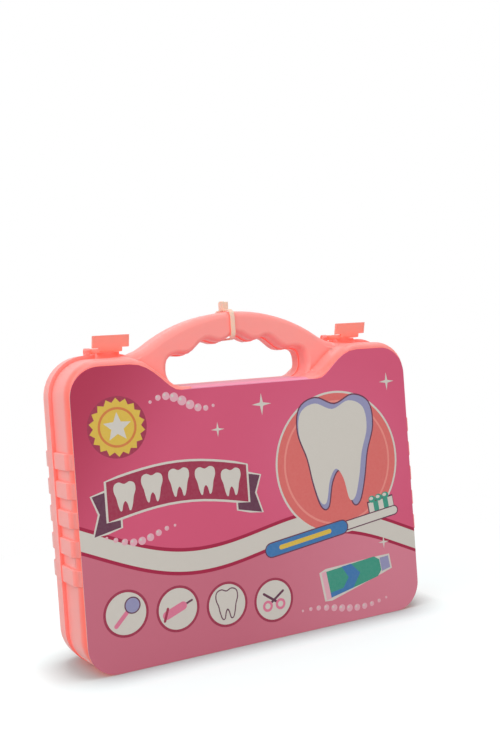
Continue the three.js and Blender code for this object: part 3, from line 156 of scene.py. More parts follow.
class Rule:
    """A geometry-node tree with named inputs that ends as one plain mesh."""

    def __init__(self, name: str) -> None:
        """Starts an empty tree.

        Args:
            name: The name of the tree and of the piece that it makes.
        """
        self.name = name
        self.tree = bpy.data.node_groups.new(name, "GeometryNodeTree")
        self.tree.is_modifier = True
        self.node = partial(add_node, self.tree)
        self.entry = self.tree.nodes.new("NodeGroupInput")
        self.settings: dict = {}

    def number(self, name: str, value: float, kind: str = "NodeSocketFloat") -> Socket:
        """Adds a named input.

        Args:
            name: The input's name.
            value: Its value.
            kind: The type of its socket.

        Returns:
            The socket that gives the value inside the tree.
        """
        socket = self.tree.interface.new_socket(name, in_out="INPUT", socket_type=kind)
        self.settings[socket.identifier] = value
        return self.entry.outputs[name]

    def size(self, name: str, value: float) -> Socket:
        """Adds a named length, given in millimetres."""
        return self.number(name, value * MM)

    def count(self, name: str, value: int) -> Socket:
        """Adds a named whole number."""
        return self.number(name, value, "NodeSocketInt")

    def finished(self, geometry: Node, finish: "Finish") -> bpy.types.Object:
        """Realizes the instances, sets the material and takes the plain result.

        Args:
            geometry: The node that gives the geometry that the tree has made.
            finish: The finish of the whole piece.

        Returns:
            The plain object, with its faces outwards.
        """
        real = self.node("GeometryNodeRealizeInstances", {"Geometry": geometry})
        inputs = {"Geometry": real, "Material": finish.material()}
        dressed = self.node("GeometryNodeSetMaterial", inputs)
        self.tree.interface.new_socket(
            "Geometry", in_out="OUTPUT", socket_type="NodeSocketGeometry"
        )
        self.node("NodeGroupOutput", {"Geometry": dressed})
        holder = mesh_object(self.name + "_rule", bpy.data.meshes.new(self.name))
        modifier = holder.modifiers.new("rule", "NODES")
        modifier.node_group = self.tree
        for identifier, value in self.settings.items():
            modifier[identifier] = value
        piece = flattened(holder, self.name)
        work = bmesh.new()
        work.from_mesh(piece.data)
        bmesh.ops.recalc_face_normals(work, faces=work.faces)
        work.to_mesh(piece.data)
        work.free()
        return piece


def solid_copy(node: str) -> bmesh.types.BMesh:
    """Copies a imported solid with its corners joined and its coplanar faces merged.

    Args:
        node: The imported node.

    Returns:
        The copy, open for changes.
    """
    work = bmesh.new()
    work.from_mesh(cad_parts[node].data)
    bmesh.ops.remove_doubles(work, verts=work.verts, dist=SAME_POINT * MM)
    bmesh.ops.dissolve_limit(
        work,
        angle_limit=math.radians(FLAT_TURN),
        verts=work.verts,
        edges=work.edges,
        delimit=set(),
    )
    bmesh.ops.recalc_face_normals(work, faces=work.faces)
    return work


def sagged(work: bmesh.types.BMesh) -> None:
    """Lowers the floor of the handle's notch, which sags on the real mouldings.

    Args:
        work: The bmesh that is changed.
    """
    for vertex in work.verts:
        height = vertex.co.z / MM
        share = min(1.0, max(0.0, (NOTCH_END - abs(vertex.co.x) / MM) / NOTCH_FADE))
        for (low, new_low), (high, new_high) in zip(SAG_LEVELS, SAG_LEVELS[1:]):
            if low < height <= high:
                part = (height - low) / (high - low)
                lowered = new_low + part * (new_high - new_low)
                vertex.co.z += share * (lowered - height) * MM
                break


def closed_up(work: bmesh.types.BMesh, gap: float = 0.15, left: float = 0.02) -> None:
    """Moves the meeting faces of the two halves together, so that no light line shows.

    Args:
        work: The bmesh of one half, which is changed.
        gap: The half's distance from the middle plane, in millimetres.
        left: The distance that stays, in millimetres.
    """
    for vertex in work.verts:
        if 0 < abs(vertex.co.y) < (gap + left) * MM:
            vertex.co.y = math.copysign(left * MM, vertex.co.y)


def lipped(
    work: bmesh.types.BMesh,
    reach: float = 1.2,
    seam: float = 0.05,
    top: float = 199.0,
    handle: tuple[float, float] = (80.0, 160.0),
    middle_height: float = 100.0,
    wall_limit: float = 0.5,
) -> None:
    """Draws a half's inner edge inwards at the seam, like the lip that keeps light out.

    Args:
        work: The bmesh of the half after closed_up, which is changed.
        reach: How far the lip reaches into the case, in millimetres.
        seam: The largest distance of the seam's points from the middle plane.
        top: The height that the lip ends at.
        handle: The half width and the lower end of the handle's part, which has no lip.
        middle_height: The height of the case's middle, which the lip points to.
        wall_limit: The largest part along Y of a side wall's normal.
    """
    middle = Vector((0.0, 0.0, middle_height)) * MM
    for vertex in work.verts:
        across, level, height = (abs(part) / MM for part in vertex.co)
        by_handle = across < handle[0] and height > handle[1]
        if level > seam or height > top or by_handle:
            continue
        walls = [face.normal for face in vertex.link_faces if abs(face.normal.y) < wall_limit]
        inward = sum(walls, Vector()).normalized()
        if walls and inward.dot(middle - vertex.co) > 0:
            vertex.co += inward * reach * MM


def shaded(work: bmesh.types.BMesh, name: str, sharp_from: float = 40.0) -> bpy.types.Object:
    """Turns a closed bmesh into a piece that is smooth between its real edges.

    Args:
        work: The bmesh. It is freed.
        name: The name of the piece.
        sharp_from: The smallest turn between faces that stays an edge, in degrees.

    Returns:
        The plain piece.
    """
    mesh = bpy.data.meshes.new(name)
    work.to_mesh(mesh)
    work.free()
    mesh.polygons.foreach_set("use_smooth", [True] * len(mesh.polygons))
    mesh.set_sharp_from_angle(angle=math.radians(sharp_from))
    piece = mesh_object(name + "_raw", mesh)
    weights = piece.modifiers.new("weights", "WEIGHTED_NORMAL")
    weights.keep_sharp = True
    return flattened(piece, name)


def smoothed(node: str, name: str, sharp_from: float = 40.0) -> bpy.types.Object:
    """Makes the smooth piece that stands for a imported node.

    Args:
        node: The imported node.
        name: The name of the new piece.
        sharp_from: The smallest turn between faces that stays an edge, in degrees.

    Returns:
        The new piece, which replaces the node.
    """
    piece = shaded(solid_copy(node), name, sharp_from)
    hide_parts(node)
    return piece


def dress(piece: bpy.types.Object, finish: "Finish", body: str) -> bpy.types.Object:
    """Gives a piece its finish and the body that it rides on.

    Args:
        piece: The piece.
        finish: The finish of its whole surface.
        body: The body's name.

    Returns:
        The same piece.
    """
    piece.data.materials.clear()
    piece.data.materials.append(finish.material())
    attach(piece, body)
    log.info("%s: %d faces", piece.name, len(piece.data.polygons))
    return piece


def prism(work: bmesh.types.BMesh, points: list, front: float, back: float) -> None:
    """Adds a closed prism along Y to a bmesh.

    Args:
        work: The bmesh that takes the prism.
        points: Its outline as pairs of X and Z, in millimetres.
        front: The level of its front, in millimetres.
        back: The level of its back, in millimetres.
    """
    near = [work.verts.new((x * MM, front * MM, z * MM)) for x, z in points]
    far = [work.verts.new((x * MM, back * MM, z * MM)) for x, z in points]
    work.faces.new(near)
    work.faces.new(far[::-1])
    for k in range(len(points)):
        after = (k + 1) % len(points)
        work.faces.new((near[k], far[k], far[after], near[after]))


# Outlines in X and Z, in millimetres


def ring(x: float, z: float, radius: float, tall: float = 1.0, sides: int = 40) -> list:
    """Returns the points of a circle, or of an ellipse with the given height share."""
    turns = [2 * math.pi * k / sides for k in range(sides)]
    return [(x + radius * math.cos(t), z + radius * tall * math.sin(t)) for t in turns]


def bar(start: tuple, end: tuple, width: float, sides: int = 8) -> list:
    """Outlines a straight bar with round ends.

    Args:
        start: The middle of one end.
        end: The middle of the other end.
        width: Its width.
        sides: The number of sides on each round end.

    Returns:
        The points.
    """
    heading = math.atan2(end[1] - start[1], end[0] - start[0])
    points = []
    for centre, first in ((end, -math.pi / 2), (start, math.pi / 2)):
        for k in range(sides + 1):
            turn = heading + first + math.pi * k / sides
            points.append(
                (centre[0] + width / 2 * math.cos(turn), centre[1] + width / 2 * math.sin(turn))
            )
    return points


def star(x: float, z: float, outer: float, inner: float, tips: int, turn: float = 90.0) -> list:
    """Outlines a star.

    Args:
        x: Its middle.
        z: Its middle's height.
        outer: The radius to its tips.
        inner: The radius to its notches.
        tips: The number of tips.
        turn: The direction of the first tip, in degrees.

    Returns:
        The points.
    """
    points = []
    for k in range(2 * tips):
        reach = inner if k % 2 else outer
        angle = math.radians(turn) + math.pi * k / tips
        points.append((x + reach * math.cos(angle), z + reach * math.sin(angle)))
    return points


def eased(points: list, steps: int = 5) -> list:
    """Runs a smooth closed curve through points.

    Args:
        points: The points.
        steps: The number of steps from one point to the next.

    Returns:
        The points of the curve.
    """
    curve = []
    count = len(points)
    for k in range(count):
        a, b, c, d = (Vector(points[(k + n - 1) % count]) for n in range(4))
        for step in range(steps):
            t = step / steps
            bend = 2 * a - 5 * b + 4 * c - d + t * (3 * (b - c) + d - a)
            spot = b + 0.5 * t * (c - a + t * bend)
            curve.append((spot.x, spot.y))
    return curve


def grown(points: list, margin: float) -> list:
    """Moves an outline outwards.

    Args:
        points: The outline, counter-clockwise.
        margin: How far it moves.

    Returns:
        The points of the wider outline.
    """
    moved = []
    for k, spot in enumerate(points):
        before = Vector(points[k - 1])
        after = Vector(points[(k + 1) % len(points)])
        along = (after - before).normalized()
        moved.append((spot[0] + margin * along.y, spot[1] - margin * along.x))
    return moved


MOLAR_SHARES = (
    (-0.5, 0.35),
    (-0.4, 0.05),
    (-0.34, -0.25),
    (-0.26, -0.5),
    (-0.17, -0.52),
    (-0.1, -0.25),
    (0.0, -0.12),
    (0.1, -0.25),
    (0.17, -0.52),
    (0.26, -0.5),
    (0.34, -0.25),
    (0.4, 0.05),
    (0.5, 0.35),
    (0.46, 0.62),
    (0.25, 0.72),
    (0.0, 0.63),
    (-0.25, 0.72),
    (-0.46, 0.62),
)


def molar(x: float, z: float, width: float) -> list:
    """Returns the points of a plain tooth with two roots."""
    spots = [Vector(share) * width for share in MOLAR_SHARES]
    return eased([(x + spot.x, z + spot.y) for spot in spots])


# Finishes


class Finish:
    """A surface finish that builds its material once."""

    made: dict = {}

    def material(self) -> bpy.types.Material:
        """Makes the finish's material at its first use.

        Returns:
            The material.
        """
        if self not in Finish.made:
            found = bpy.data.materials.new(self.name)
            found.use_nodes = True
            tree = found.node_tree
            tree.nodes.clear()
            add_node(tree, "ShaderNodeOutputMaterial", {"Surface": self.surface(tree)})
            Finish.made[self] = found
        return Finish.made[self]

    def surface(self, tree: NodeTree) -> Node:
        """Builds and returns the shader that covers the surface."""
        raise NotImplementedError


@dataclass(frozen=True)
class Moulding(Finish):
    """Injection-moulded plastic: a soft sheen, faint flow marks and rounded edges, with painted
    shade and a painted glow where a shade colour is given.
    """

    name: str
    colour: str
    flow_colour: str
    roughness: float = 0.3
    ior: float = 1.49
    glow: float = 0.25
    glow_depth: float = 2.0
    glow_reach: tuple[float, float, float] = (1.0, 0.32, 0.25)
    edge: float = 0.5
    # A mould's grain is about 0.1 mm and too fine to show, so it is drawn at 0.9 mm.
    grain: float = 0.9
    grain_depth: float = 0.012
    flow: float = 38.0
    # Painted shade: where this colour is set, recesses that ambient occlusion finds within the
    # reach are painted in it.
    painted_shade_colour: str = ""
    painted_shade_reach: float = 7.0
    painted_shade_range: tuple[float, float] = (0.78, 0.35)
    painted_glow_deep: float = 0.0
    # Painted glow: an emission, weak on open surfaces and stronger in recesses, that stands in
    # for light through the translucent wall.
    painted_glow_open: float = 0.06
    painted_glow_range: tuple[float, float] = (0.6, 0.15)
    painted_glow_colour: str = "#ff7a6e"
    # Painted shade on the sides' rounded front corners beside the card: from these depths, and
    # for normals turned this far to the side.
    corner_shade_from: float = 0.0
    corner_shade_to: float = 0.0
    corner_shade_share: float = 0.75
    corner_shade_turn: tuple[float, float] = (0.15, 0.6)
    clear: float = 0.0
    bloom: float = 0.0
    bloom_roughness: float = 0.4

    def painted_shade_and_glow(self, tree: NodeTree, place: Node) -> tuple[Node, Node]:
        """Builds the share of the painted shade colour, in recesses and on the sides' front
        corners beside the card.

        Args:
            tree: The material's node tree.
            place: Its texture coordinates.

        Returns:
            The node that gives the share, from 0 to 1, and the one that gives the strength of
            the painted glow, which stands in for the light that the wall lets through.
        """
        node = partial(add_node, tree)
        # Painted shade: the less open the surface is within the reach, the more of the shade
        # colour it gets.
        reach = {"Distance": self.painted_shade_reach * MM}
        openness = node("ShaderNodeAmbientOcclusion", reach, samples=8).outputs["AO"]
        start, end = self.painted_shade_range
        inputs = {"Value": openness, "From Min": start, "From Max": end}
        share = node("ShaderNodeMapRange", inputs)
        start, end = self.painted_glow_range
        inputs = {"Value": openness, "From Min": start, "From Max": end}
        inputs |= {"To Min": self.painted_glow_open, "To Max": self.painted_glow_deep}
        light = node("ShaderNodeMapRange", inputs)
        # The sides' front corners beside the card get painted shade too.
        if self.corner_shade_to:
            level = node("ShaderNodeSeparateXYZ", {0: place.outputs["Object"]}).outputs["Y"]
            facing = node("ShaderNodeSeparateXYZ", {0: place.outputs["Normal"]}).outputs["X"]
            inputs = {
                "Value": ["ABSOLUTE", level],
                "From Min": self.corner_shade_from * MM,
                "From Max": self.corner_shade_to * MM,
                "To Max": self.corner_shade_share,
            }
            corner = node("ShaderNodeMapRange", inputs, interpolation_type="SMOOTHSTEP")
            start, end = self.corner_shade_turn
            inputs = {"Value": ["ABSOLUTE", facing], "From Min": start, "From Max": end}
            painted_corner_shade = ["MULTIPLY", corner, node("ShaderNodeMapRange", inputs)]
            share = node(SUM, {0: share, 1: painted_corner_shade}, operation="MAXIMUM")
        return share, light

    def surface(self, tree: NodeTree) -> Node:
        """Builds the plastic from flow marks, grain and an edge rounding.

        Args:
            tree: The material's node tree.

        Returns:
            The shader.
        """
        node = partial(add_node, tree)
        place = node("ShaderNodeTexCoord")
        inputs = {"Vector": place.outputs["Object"], "Scale": 1 / (self.flow * MM)}
        flow = node("ShaderNodeTexNoise", {**inputs, "Detail": 2.0})
        inputs = {"Factor": flow, 6: linear(self.colour), 7: linear(self.flow_colour)}
        colour = node("ShaderNodeMix", inputs, data_type="RGBA")
        light = 0.0
        # Painted shade, and a painted glow, where a shade colour is set.
        if self.painted_shade_colour:
            share, light = self.painted_shade_and_glow(tree, place)
            inputs = {"Factor": share, 6: colour, 7: linear(self.painted_shade_colour)}
            colour = node("ShaderNodeMix", inputs, data_type="RGBA")
        inputs = {"Vector": place.outputs["Object"], "Scale": 1 / (self.grain * MM)}
        grain = node("ShaderNodeTexNoise", {**inputs, "Detail": 1.0})
        rounded = node("ShaderNodeBevel", {"Radius": self.edge * MM}, samples=6)
        inputs = {"Height": grain, "Distance": self.grain_depth * MM, "Normal": rounded}
        return node(
            "ShaderNodeBsdfPrincipled",
            {
                "Base Color": colour,
                "Roughness": self.roughness,
                "IOR": self.ior,
                "Subsurface Weight": self.glow,
                "Subsurface Radius": self.glow_reach,
                "Subsurface Scale": self.glow_depth * MM,
                "Transmission Weight": self.clear,
                "Sheen Weight": self.bloom,
                "Sheen Roughness": self.bloom_roughness,
                "Emission Color": linear(self.painted_glow_colour),
                "Emission Strength": light,
                "Normal": node("ShaderNodeBump", {**inputs, "Strength": 1.0}),
            },
        )


@dataclass(frozen=True)
class Ink(Finish):
    """Offset ink on coated board: flat, with a little gloss and the mottle of a print screen."""

    name: str
    colour: str
    roughness: float = 0.42
    mottle: float = 0.04
    # A print screen is about 0.15 mm and too fine to show, so it is drawn at 1.5 mm.
    screen: float = 1.5

    def surface(self, tree: NodeTree) -> Node:
        """Builds the ink with its faint mottle.

        Args:
            tree: The material's node tree.

        Returns:
            The shader.
        """
        node = partial(add_node, tree)
        place = node("ShaderNodeTexCoord").outputs["Object"]
        inputs = {"Vector": place, "Scale": 1 / (self.screen * MM), "Detail": 1.0}
        share = ["MULTIPLY", node("ShaderNodeTexNoise", inputs), self.mottle]
        inputs = {"Factor": share, 6: linear(self.colour), 7: linear("#ffffff")}
        colour = node("ShaderNodeMix", inputs, data_type="RGBA")
        inputs = {"Base Color": colour, "Roughness": self.roughness, "IOR": VARNISH_IOR}
        return node("ShaderNodeBsdfPrincipled", inputs)


@dataclass(frozen=True)
class PrintedStock(Finish):
    """Coated board printed with a pink ground, a pale glow and a white wave."""

    name: str = "coated_board_pink_print"
    corner: str = "#b0274a"
    ground: str = "#d45274"
    lower: str = "#c7687c"
    lower_far: str = "#d57a8d"
    wave: str = "#cfc6bd"
    stripe: str = "#a5123f"
    glow: str = "#dc6386"
    slant: float = -0.75
    corner_range: tuple[float, float] = (-265.0, -150.0)
    glow_middle: tuple[float, float] = (62.0, 112.0)
    glow_range: tuple[float, float] = (95.0, 20.0)
    glow_share: float = 0.5
    lower_range: tuple[float, float] = (-40.0, 110.0)
    wave_height: float = 68.0
    wave_rise: float = -0.12
    wave_swing: float = 12.0
    wave_length: float = 230.0
    wave_width: float = 13.0
    stripe_width: float = 2.4
    blur: float = 0.05
    roughness: float = 0.42

    def printed(
        self,
        tree: NodeTree,
        under: object,
        over: object,
        value: object,
        way: tuple[float, float],
        cover: float = 1.0,
    ) -> Node:
        """Prints one colour over another where a value goes from one level to the next.

        Args:
            tree: The material's node tree.
            under: The colour underneath, as a hex colour or a node.
            over: The colour that is printed over it, as a hex colour or a node.
            value: What gives the value, in metres.
            way: The levels where the print begins and where it is full, in millimetres.
            cover: The share that it covers where it is full.

        Returns:
            The node that gives the printed colour.
        """
        inputs = {"Value": value, "From Min": way[0] * MM, "From Max": way[1] * MM}
        rise = add_node(
            tree,
            "ShaderNodeMapRange",
            {**inputs, "To Max": cover},
            interpolation_type="SMOOTHSTEP",
        )
        low, high = (linear(ink) if isinstance(ink, str) else ink for ink in (under, over))
        inputs = {"Factor": rise, 6: low, 7: high}
        return add_node(tree, "ShaderNodeMix", inputs, data_type="RGBA")

    def surface(self, tree: NodeTree) -> Node:
        """Builds the printed ground from the place on the card.

        Args:
            tree: The material's node tree.

        Returns:
            The shader.
        """
        node = partial(add_node, tree)
        printed = partial(self.printed, tree)
        place = node("ShaderNodeTexCoord").outputs["Object"]
        across, _, up = node("ShaderNodeSeparateXYZ", {0: place}).outputs

        slant = ["ADD", across, ["MULTIPLY", up, self.slant]]
        colour = printed(self.corner, self.ground, slant, self.corner_range)
        far, high = (
            ["POWER", ["SUBTRACT", part, middle * MM], 2.0]
            for part, middle in zip((across, up), self.glow_middle)
        )
        distance = ["SQRT", ["ADD", far, high]]
        colour = printed(colour, self.glow, distance, self.glow_range, self.glow_share)

        turn = ["MULTIPLY", across, 2 * math.pi / (self.wave_length * MM)]
        swing = ["MULTIPLY", ["SINE", turn], self.wave_swing * MM]
        middle = ["ADD", ["MULTIPLY", across, self.wave_rise], swing]
        middle = ["ADD", middle, self.wave_height * MM]
        level = node(SUM, {0: up, 1: middle}, operation="SUBTRACT")
        below = printed(self.lower, self.lower_far, across, self.lower_range)
        colour = printed(colour, below, level, (self.blur, -self.blur))
        half = self.wave_width / 2
        for edge, ink in ((half + self.stripe_width, self.stripe), (half, self.wave)):
            way = (edge + self.blur, edge - self.blur)
            colour = printed(colour, ink, ["ABSOLUTE", level], way)
        inputs = {"Base Color": colour, "Roughness": self.roughness, "IOR": VARNISH_IOR}
        return node("ShaderNodeBsdfPrincipled", inputs)


@dataclass(frozen=True)
class SpottedFlap(Finish):
    """The card's flap: paler print, with spots of the board's white that gather towards its rear
    edge.
    """

    name: str = "coated_board_spotted"
    ground: str = "#f29ab6"
    bare: str = "#e9e4df"
    spots: float = 8.0
    spotting_from: float = 1.5
    spotting_to: float = 7.5
    spotting_share: float = 0.24
    bare_range: tuple[float, float] = (0.69, 0.73)
    roughness: float = 0.4

    def surface(self, tree: NodeTree) -> Node:
        """Builds the print and the white spots.

        Args:
            tree: The material's node tree.

        Returns:
            The shader.
        """
        node = partial(add_node, tree)
        place = node("ShaderNodeTexCoord").outputs["Object"]
        inputs = {"Vector": place, "Scale": 1 / (self.spots * MM), "Detail": 3.0}
        spots = node("ShaderNodeTexNoise", inputs)
        inputs = {
            "Value": node("ShaderNodeSeparateXYZ", {0: place}).outputs["Y"],
            "From Min": self.spotting_from * MM,
            "From Max": self.spotting_to * MM,
            "To Max": self.spotting_share,
        }
        spotting = ["ADD", spots, node("ShaderNodeMapRange", inputs)]
        start, end = self.bare_range
        inputs = {"Value": spotting, "From Min": start, "From Max": end}
        share = node("ShaderNodeMapRange", inputs)
        inputs = {"Factor": share, 6: linear(self.ground), 7: linear(self.bare)}
        colour = node("ShaderNodeMix", inputs, data_type="RGBA")
        inputs = {"Base Color": colour, "Roughness": self.roughness, "IOR": VARNISH_IOR}
        return node("ShaderNodeBsdfPrincipled", inputs)


@dataclass(frozen=True)
class BoardCore(Finish):
    """The bare edge of paperboard: pale grey fibre."""

    name: str = "paperboard_core"
    colour: str = "#cfc9c2"
    fibre_colour: str = "#e9e5df"
    fibre: float = 0.4
    roughness: float = 0.9

    def surface(self, tree: NodeTree) -> Node:
        """Builds the matt edge with fine fibres.

        Args:
            tree: The material's node tree.

        Returns:
            The shader.
        """
        node = partial(add_node, tree)
        place = node("ShaderNodeTexCoord").outputs["Object"]
        inputs = {"Vector": place, "Scale": 1 / (self.fibre * MM), "Detail": 3.0}
        fibres = node("ShaderNodeTexNoise", inputs)
        inputs = {"Factor": fibres, 6: linear(self.colour), 7: linear(self.fibre_colour)}
        colour = node("ShaderNodeMix", inputs, data_type="RGBA")
        inputs = {"Base Color": colour, "Roughness": self.roughness}
        return node("ShaderNodeBsdfPrincipled", inputs)


@dataclass(frozen=True)
class SilveredFilm(Finish):
    """Silvered plastic film: a slightly wavy mirror."""

    name: str = "silvered_film"
    colour: str = "#d9dde0"
    waves: float = 9.0
    wave_depth: float = 0.04
    roughness: float = 0.07

    def surface(self, tree: NodeTree) -> Node:
        """Builds the mirror with a shallow waviness.

        Args:
            tree: The material's node tree.

        Returns:
            The shader.
        """
        node = partial(add_node, tree)
        place = node("ShaderNodeTexCoord").outputs["Object"]
        inputs = {"Vector": place, "Scale": 1 / (self.waves * MM), "Detail": 0.0}
        waves = node("ShaderNodeTexNoise", inputs)
        inputs = {"Height": waves, "Distance": self.wave_depth * MM, "Strength": 1.0}
        relief = node("ShaderNodeBump", inputs)
        inputs = {"Base Color": linear(self.colour), "Roughness": self.roughness}
        inputs |= {"Metallic": 1.0, "Normal": relief}
        return node("ShaderNodeBsdfPrincipled", inputs)


# Polypropylene of the case: satin and translucent. Its recesses and the sides' front corners
# beside the card get painted shade in a deeper orange-red, it has a painted glow that is
# strongest in recesses, and its sheen pales the outer contour.
CASE_PINK = Moulding(
    "polypropylene_salmon",
    "#fa918b",
    "#fd9b94",
    roughness=0.36,
    edge=0.12,
    painted_shade_colour="#fb6250",
    painted_glow_deep=0.55,
    corner_shade_from=20.0,
    corner_shade_to=27.0,
    bloom=0.3,
)
# The same plastic in thin latches: more light comes through and the hue turns orange; their
# recesses get painted shade over a wider reach, and a painted glow.
LATCH_PINK = Moulding(
    "polypropylene_salmon_thin",
    "#fb9183",
    "#fd9b8c",
    roughness=0.36,
    glow=0.4,
    painted_shade_colour="#fd6a50",
    painted_shade_reach=12.0,
    painted_glow_deep=0.5,
    painted_glow_colour="#ff7c62",
    bloom=0.15,
)
# Polystyrene of the tools' handles: the case's hue, a little deeper and glossier.
TOOL_PINK = Moulding("polystyrene_coral", "#ee7d77", "#f28a83", roughness=0.25, glow=0.1)
# White polystyrene: clean, faintly warm, with a crisp highlight.
TOOL_WHITE = Moulding("polystyrene_white", "#e4e2de", "#eeece8", roughness=0.25, glow=0.1)
# Pale grey polystyrene of the scissors: duller, with no light in its depth.
TOOL_GREY = Moulding("polystyrene_grey", "#bec0be", "#c8cac8", roughness=0.4, glow=0.0)
# Soft vinyl of the gums: redder than the case and wet-looking.
GUM_RED = Moulding("vinyl_gum_red", "#e2585f", "#e8666b", roughness=0.22, glow=0.3)
# Ivory polystyrene of the teeth: glossy, with light in its depth.
TOOTH_WHITE = Moulding("polystyrene_ivory", "#f0ece0", "#f6f3ea", roughness=0.2, glow=0.3)
# Natural nylon of the tie: milky and half clear, so that the case warms it from behind.
TIE_NYLON = Moulding(
    "nylon_natural",
    "#ffd0b8",
    "#ffdac6",
    roughness=0.4,
    glow=0.5,
    glow_depth=1.2,
    edge=0.25,
    clear=0.12,
)
# Fine nylon filament: bright white tips.
BRISTLE_NYLON = Moulding("nylon_bristle", "#f3f3f1", "#fafaf8", edge=0.05, glow=0.2)
# Coated board: the printed face, the spotted flap and the bare cut edge.
CARD_PRINT = PrintedStock()
CARD_FLAP = SpottedFlap()
CARD_CORE = BoardCore()
# Silvered film on the toy mirror: reflects the room, a little wavy.
MIRROR_FILM = SilveredFilm()
# Pad-printed marks on the syringe.
MARK_INK = Ink("pad_print_grey", "#55505a", roughness=0.5, mottle=0.0)


class Print(Enum):
    """The inks of the printed card, each with its finish."""

    WHITE = Ink("ink_white", "#cfc6bd")
    LILAC = Ink("ink_lilac", "#8f8bb0")
    PLUM = Ink("ink_plum", "#5d2040")
    CRIMSON = Ink("ink_crimson", "#9c1740")
    ROSE = Ink("ink_rose", "#d9708e")
    BLUSH = Ink("ink_blush", "#dfa3b0")
    TEAL = Ink("ink_teal", "#2c8f78")
    BLUE = Ink("ink_blue", "#2f6ea8")
    YELLOW = Ink("ink_yellow", "#d9b23c")
    ORANGE = Ink("ink_orange", "#cf7430")
    SALMON = Ink("ink_salmon", "#d9645f")
    CORAL = Ink("ink_coral", "#e5847b")


# Case


@dataclass
class CaseShells:
    """The two moulded halves of the case."""

    def build(self) -> None:
        """Smooths and dresses both halves."""
        for node, name, body in (
            ("rear_shell", "rear_half", "tray"),
            ("front_shell", "front_half", "lid"),
        ):
            work = solid_copy(node)
            sagged(work)
            closed_up(work)
            if node == "rear_shell":
                lipped(work)
            piece = shaded(work, name)
            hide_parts(node)
            dress(piece, CASE_PINK, body)


@dataclass
class FlipLatches:
    """The two latches on the shoulders."""

    def build(self) -> None:
        """Smooths and dresses both latches."""
        for side in ("left", "right"):
            piece = smoothed(f"latch_{side}", f"flip_latch_{side}", 30.0)
            dress(piece, LATCH_PINK, f"latch_{side}")


@dataclass
class BubbleTrail:
    """A printed row of bubbles that swells and shrinks along a wave. Lengths in millimetres."""

    middle: tuple[float, float]
    span: float
    bubbles: int
    phase: float = 0.0
    swing: float = 5.0
    largest: float = 3.2
    smallest_share: float = 0.35
    wave_turn: float = 5.0
    sides: int = 18

    def build(self, ink: Print, front: float, root: float, size: float, shift: float) -> None:
        """Prints the trail with one ink.

        Args:
            ink: The ink.
            front: The level of its face.
            root: The level inside the stock that it starts from.
            size: The share of each bubble's radius that it fills.
            shift: How far it moves up and left, as a share of the radius.
        """
        rule = Rule("print_bubbles_" + ink.name.lower())
        count = rule.count("Bubbles", self.bubbles)
        span = rule.size("Span", self.span)
        swing = rule.size("Swing", self.swing)
        largest = rule.size("Largest Radius", self.largest)
        across = rule.size("Middle X", self.middle[0])
        height = rule.size("Middle Z", self.middle[1])
        face = rule.size("Face Level", front)
        base = rule.size("Root Level", root)
        index = rule.node("GeometryNodeInputIndex")
        share = rule.node(SUM, {0: index, 1: ["SUBTRACT", count, 1.0]}, operation="DIVIDE")
        hump = ["MULTIPLY", ["SINE", ["MULTIPLY", share, math.pi]], 1 - self.smallest_share]
        part = ["ADD", hump, self.smallest_share]
        radius = rule.node(SUM, {0: part, 1: largest}, operation="MULTIPLY")
        turn = ["ADD", ["MULTIPLY", share, self.wave_turn], self.phase]
        wave = ["MULTIPLY", ["SINE", turn], swing]
        along = ["MULTIPLY", ["SUBTRACT", share, 0.5], span]
        nudge = rule.node(SUM, {0: radius, 1: shift}, operation="MULTIPLY")
        place = rule.node(
            "ShaderNodeCombineXYZ",
            {
                "X": ["SUBTRACT", ["ADD", across, along], nudge],
                "Y": ["MULTIPLY", ["ADD", face, base], 0.5],
                "Z": ["ADD", ["ADD", height, wave], nudge],
            },
        )
        points = rule.node("GeometryNodePoints", {"Count": count, "Position": place})
        disc = rule.node(
            "GeometryNodeMeshCylinder", {"Vertices": self.sides, "Radius": 1.0, "Depth": 1.0}
        )
        filled = rule.node(SUM, {0: radius, 1: size}, operation="MULTIPLY")
        inputs = {"X": filled, "Y": filled, "Z": ["SUBTRACT", base, face]}
        scale = rule.node("ShaderNodeCombineXYZ", inputs)
        inputs = {"Points": points, "Instance": disc, "Rotation": ALONG_Y, "Scale": scale}
        placed = rule.node("GeometryNodeInstanceOnPoints", inputs)
        piece = rule.finished(placed, ink.value)
        dress(piece, ink.value, "lid")


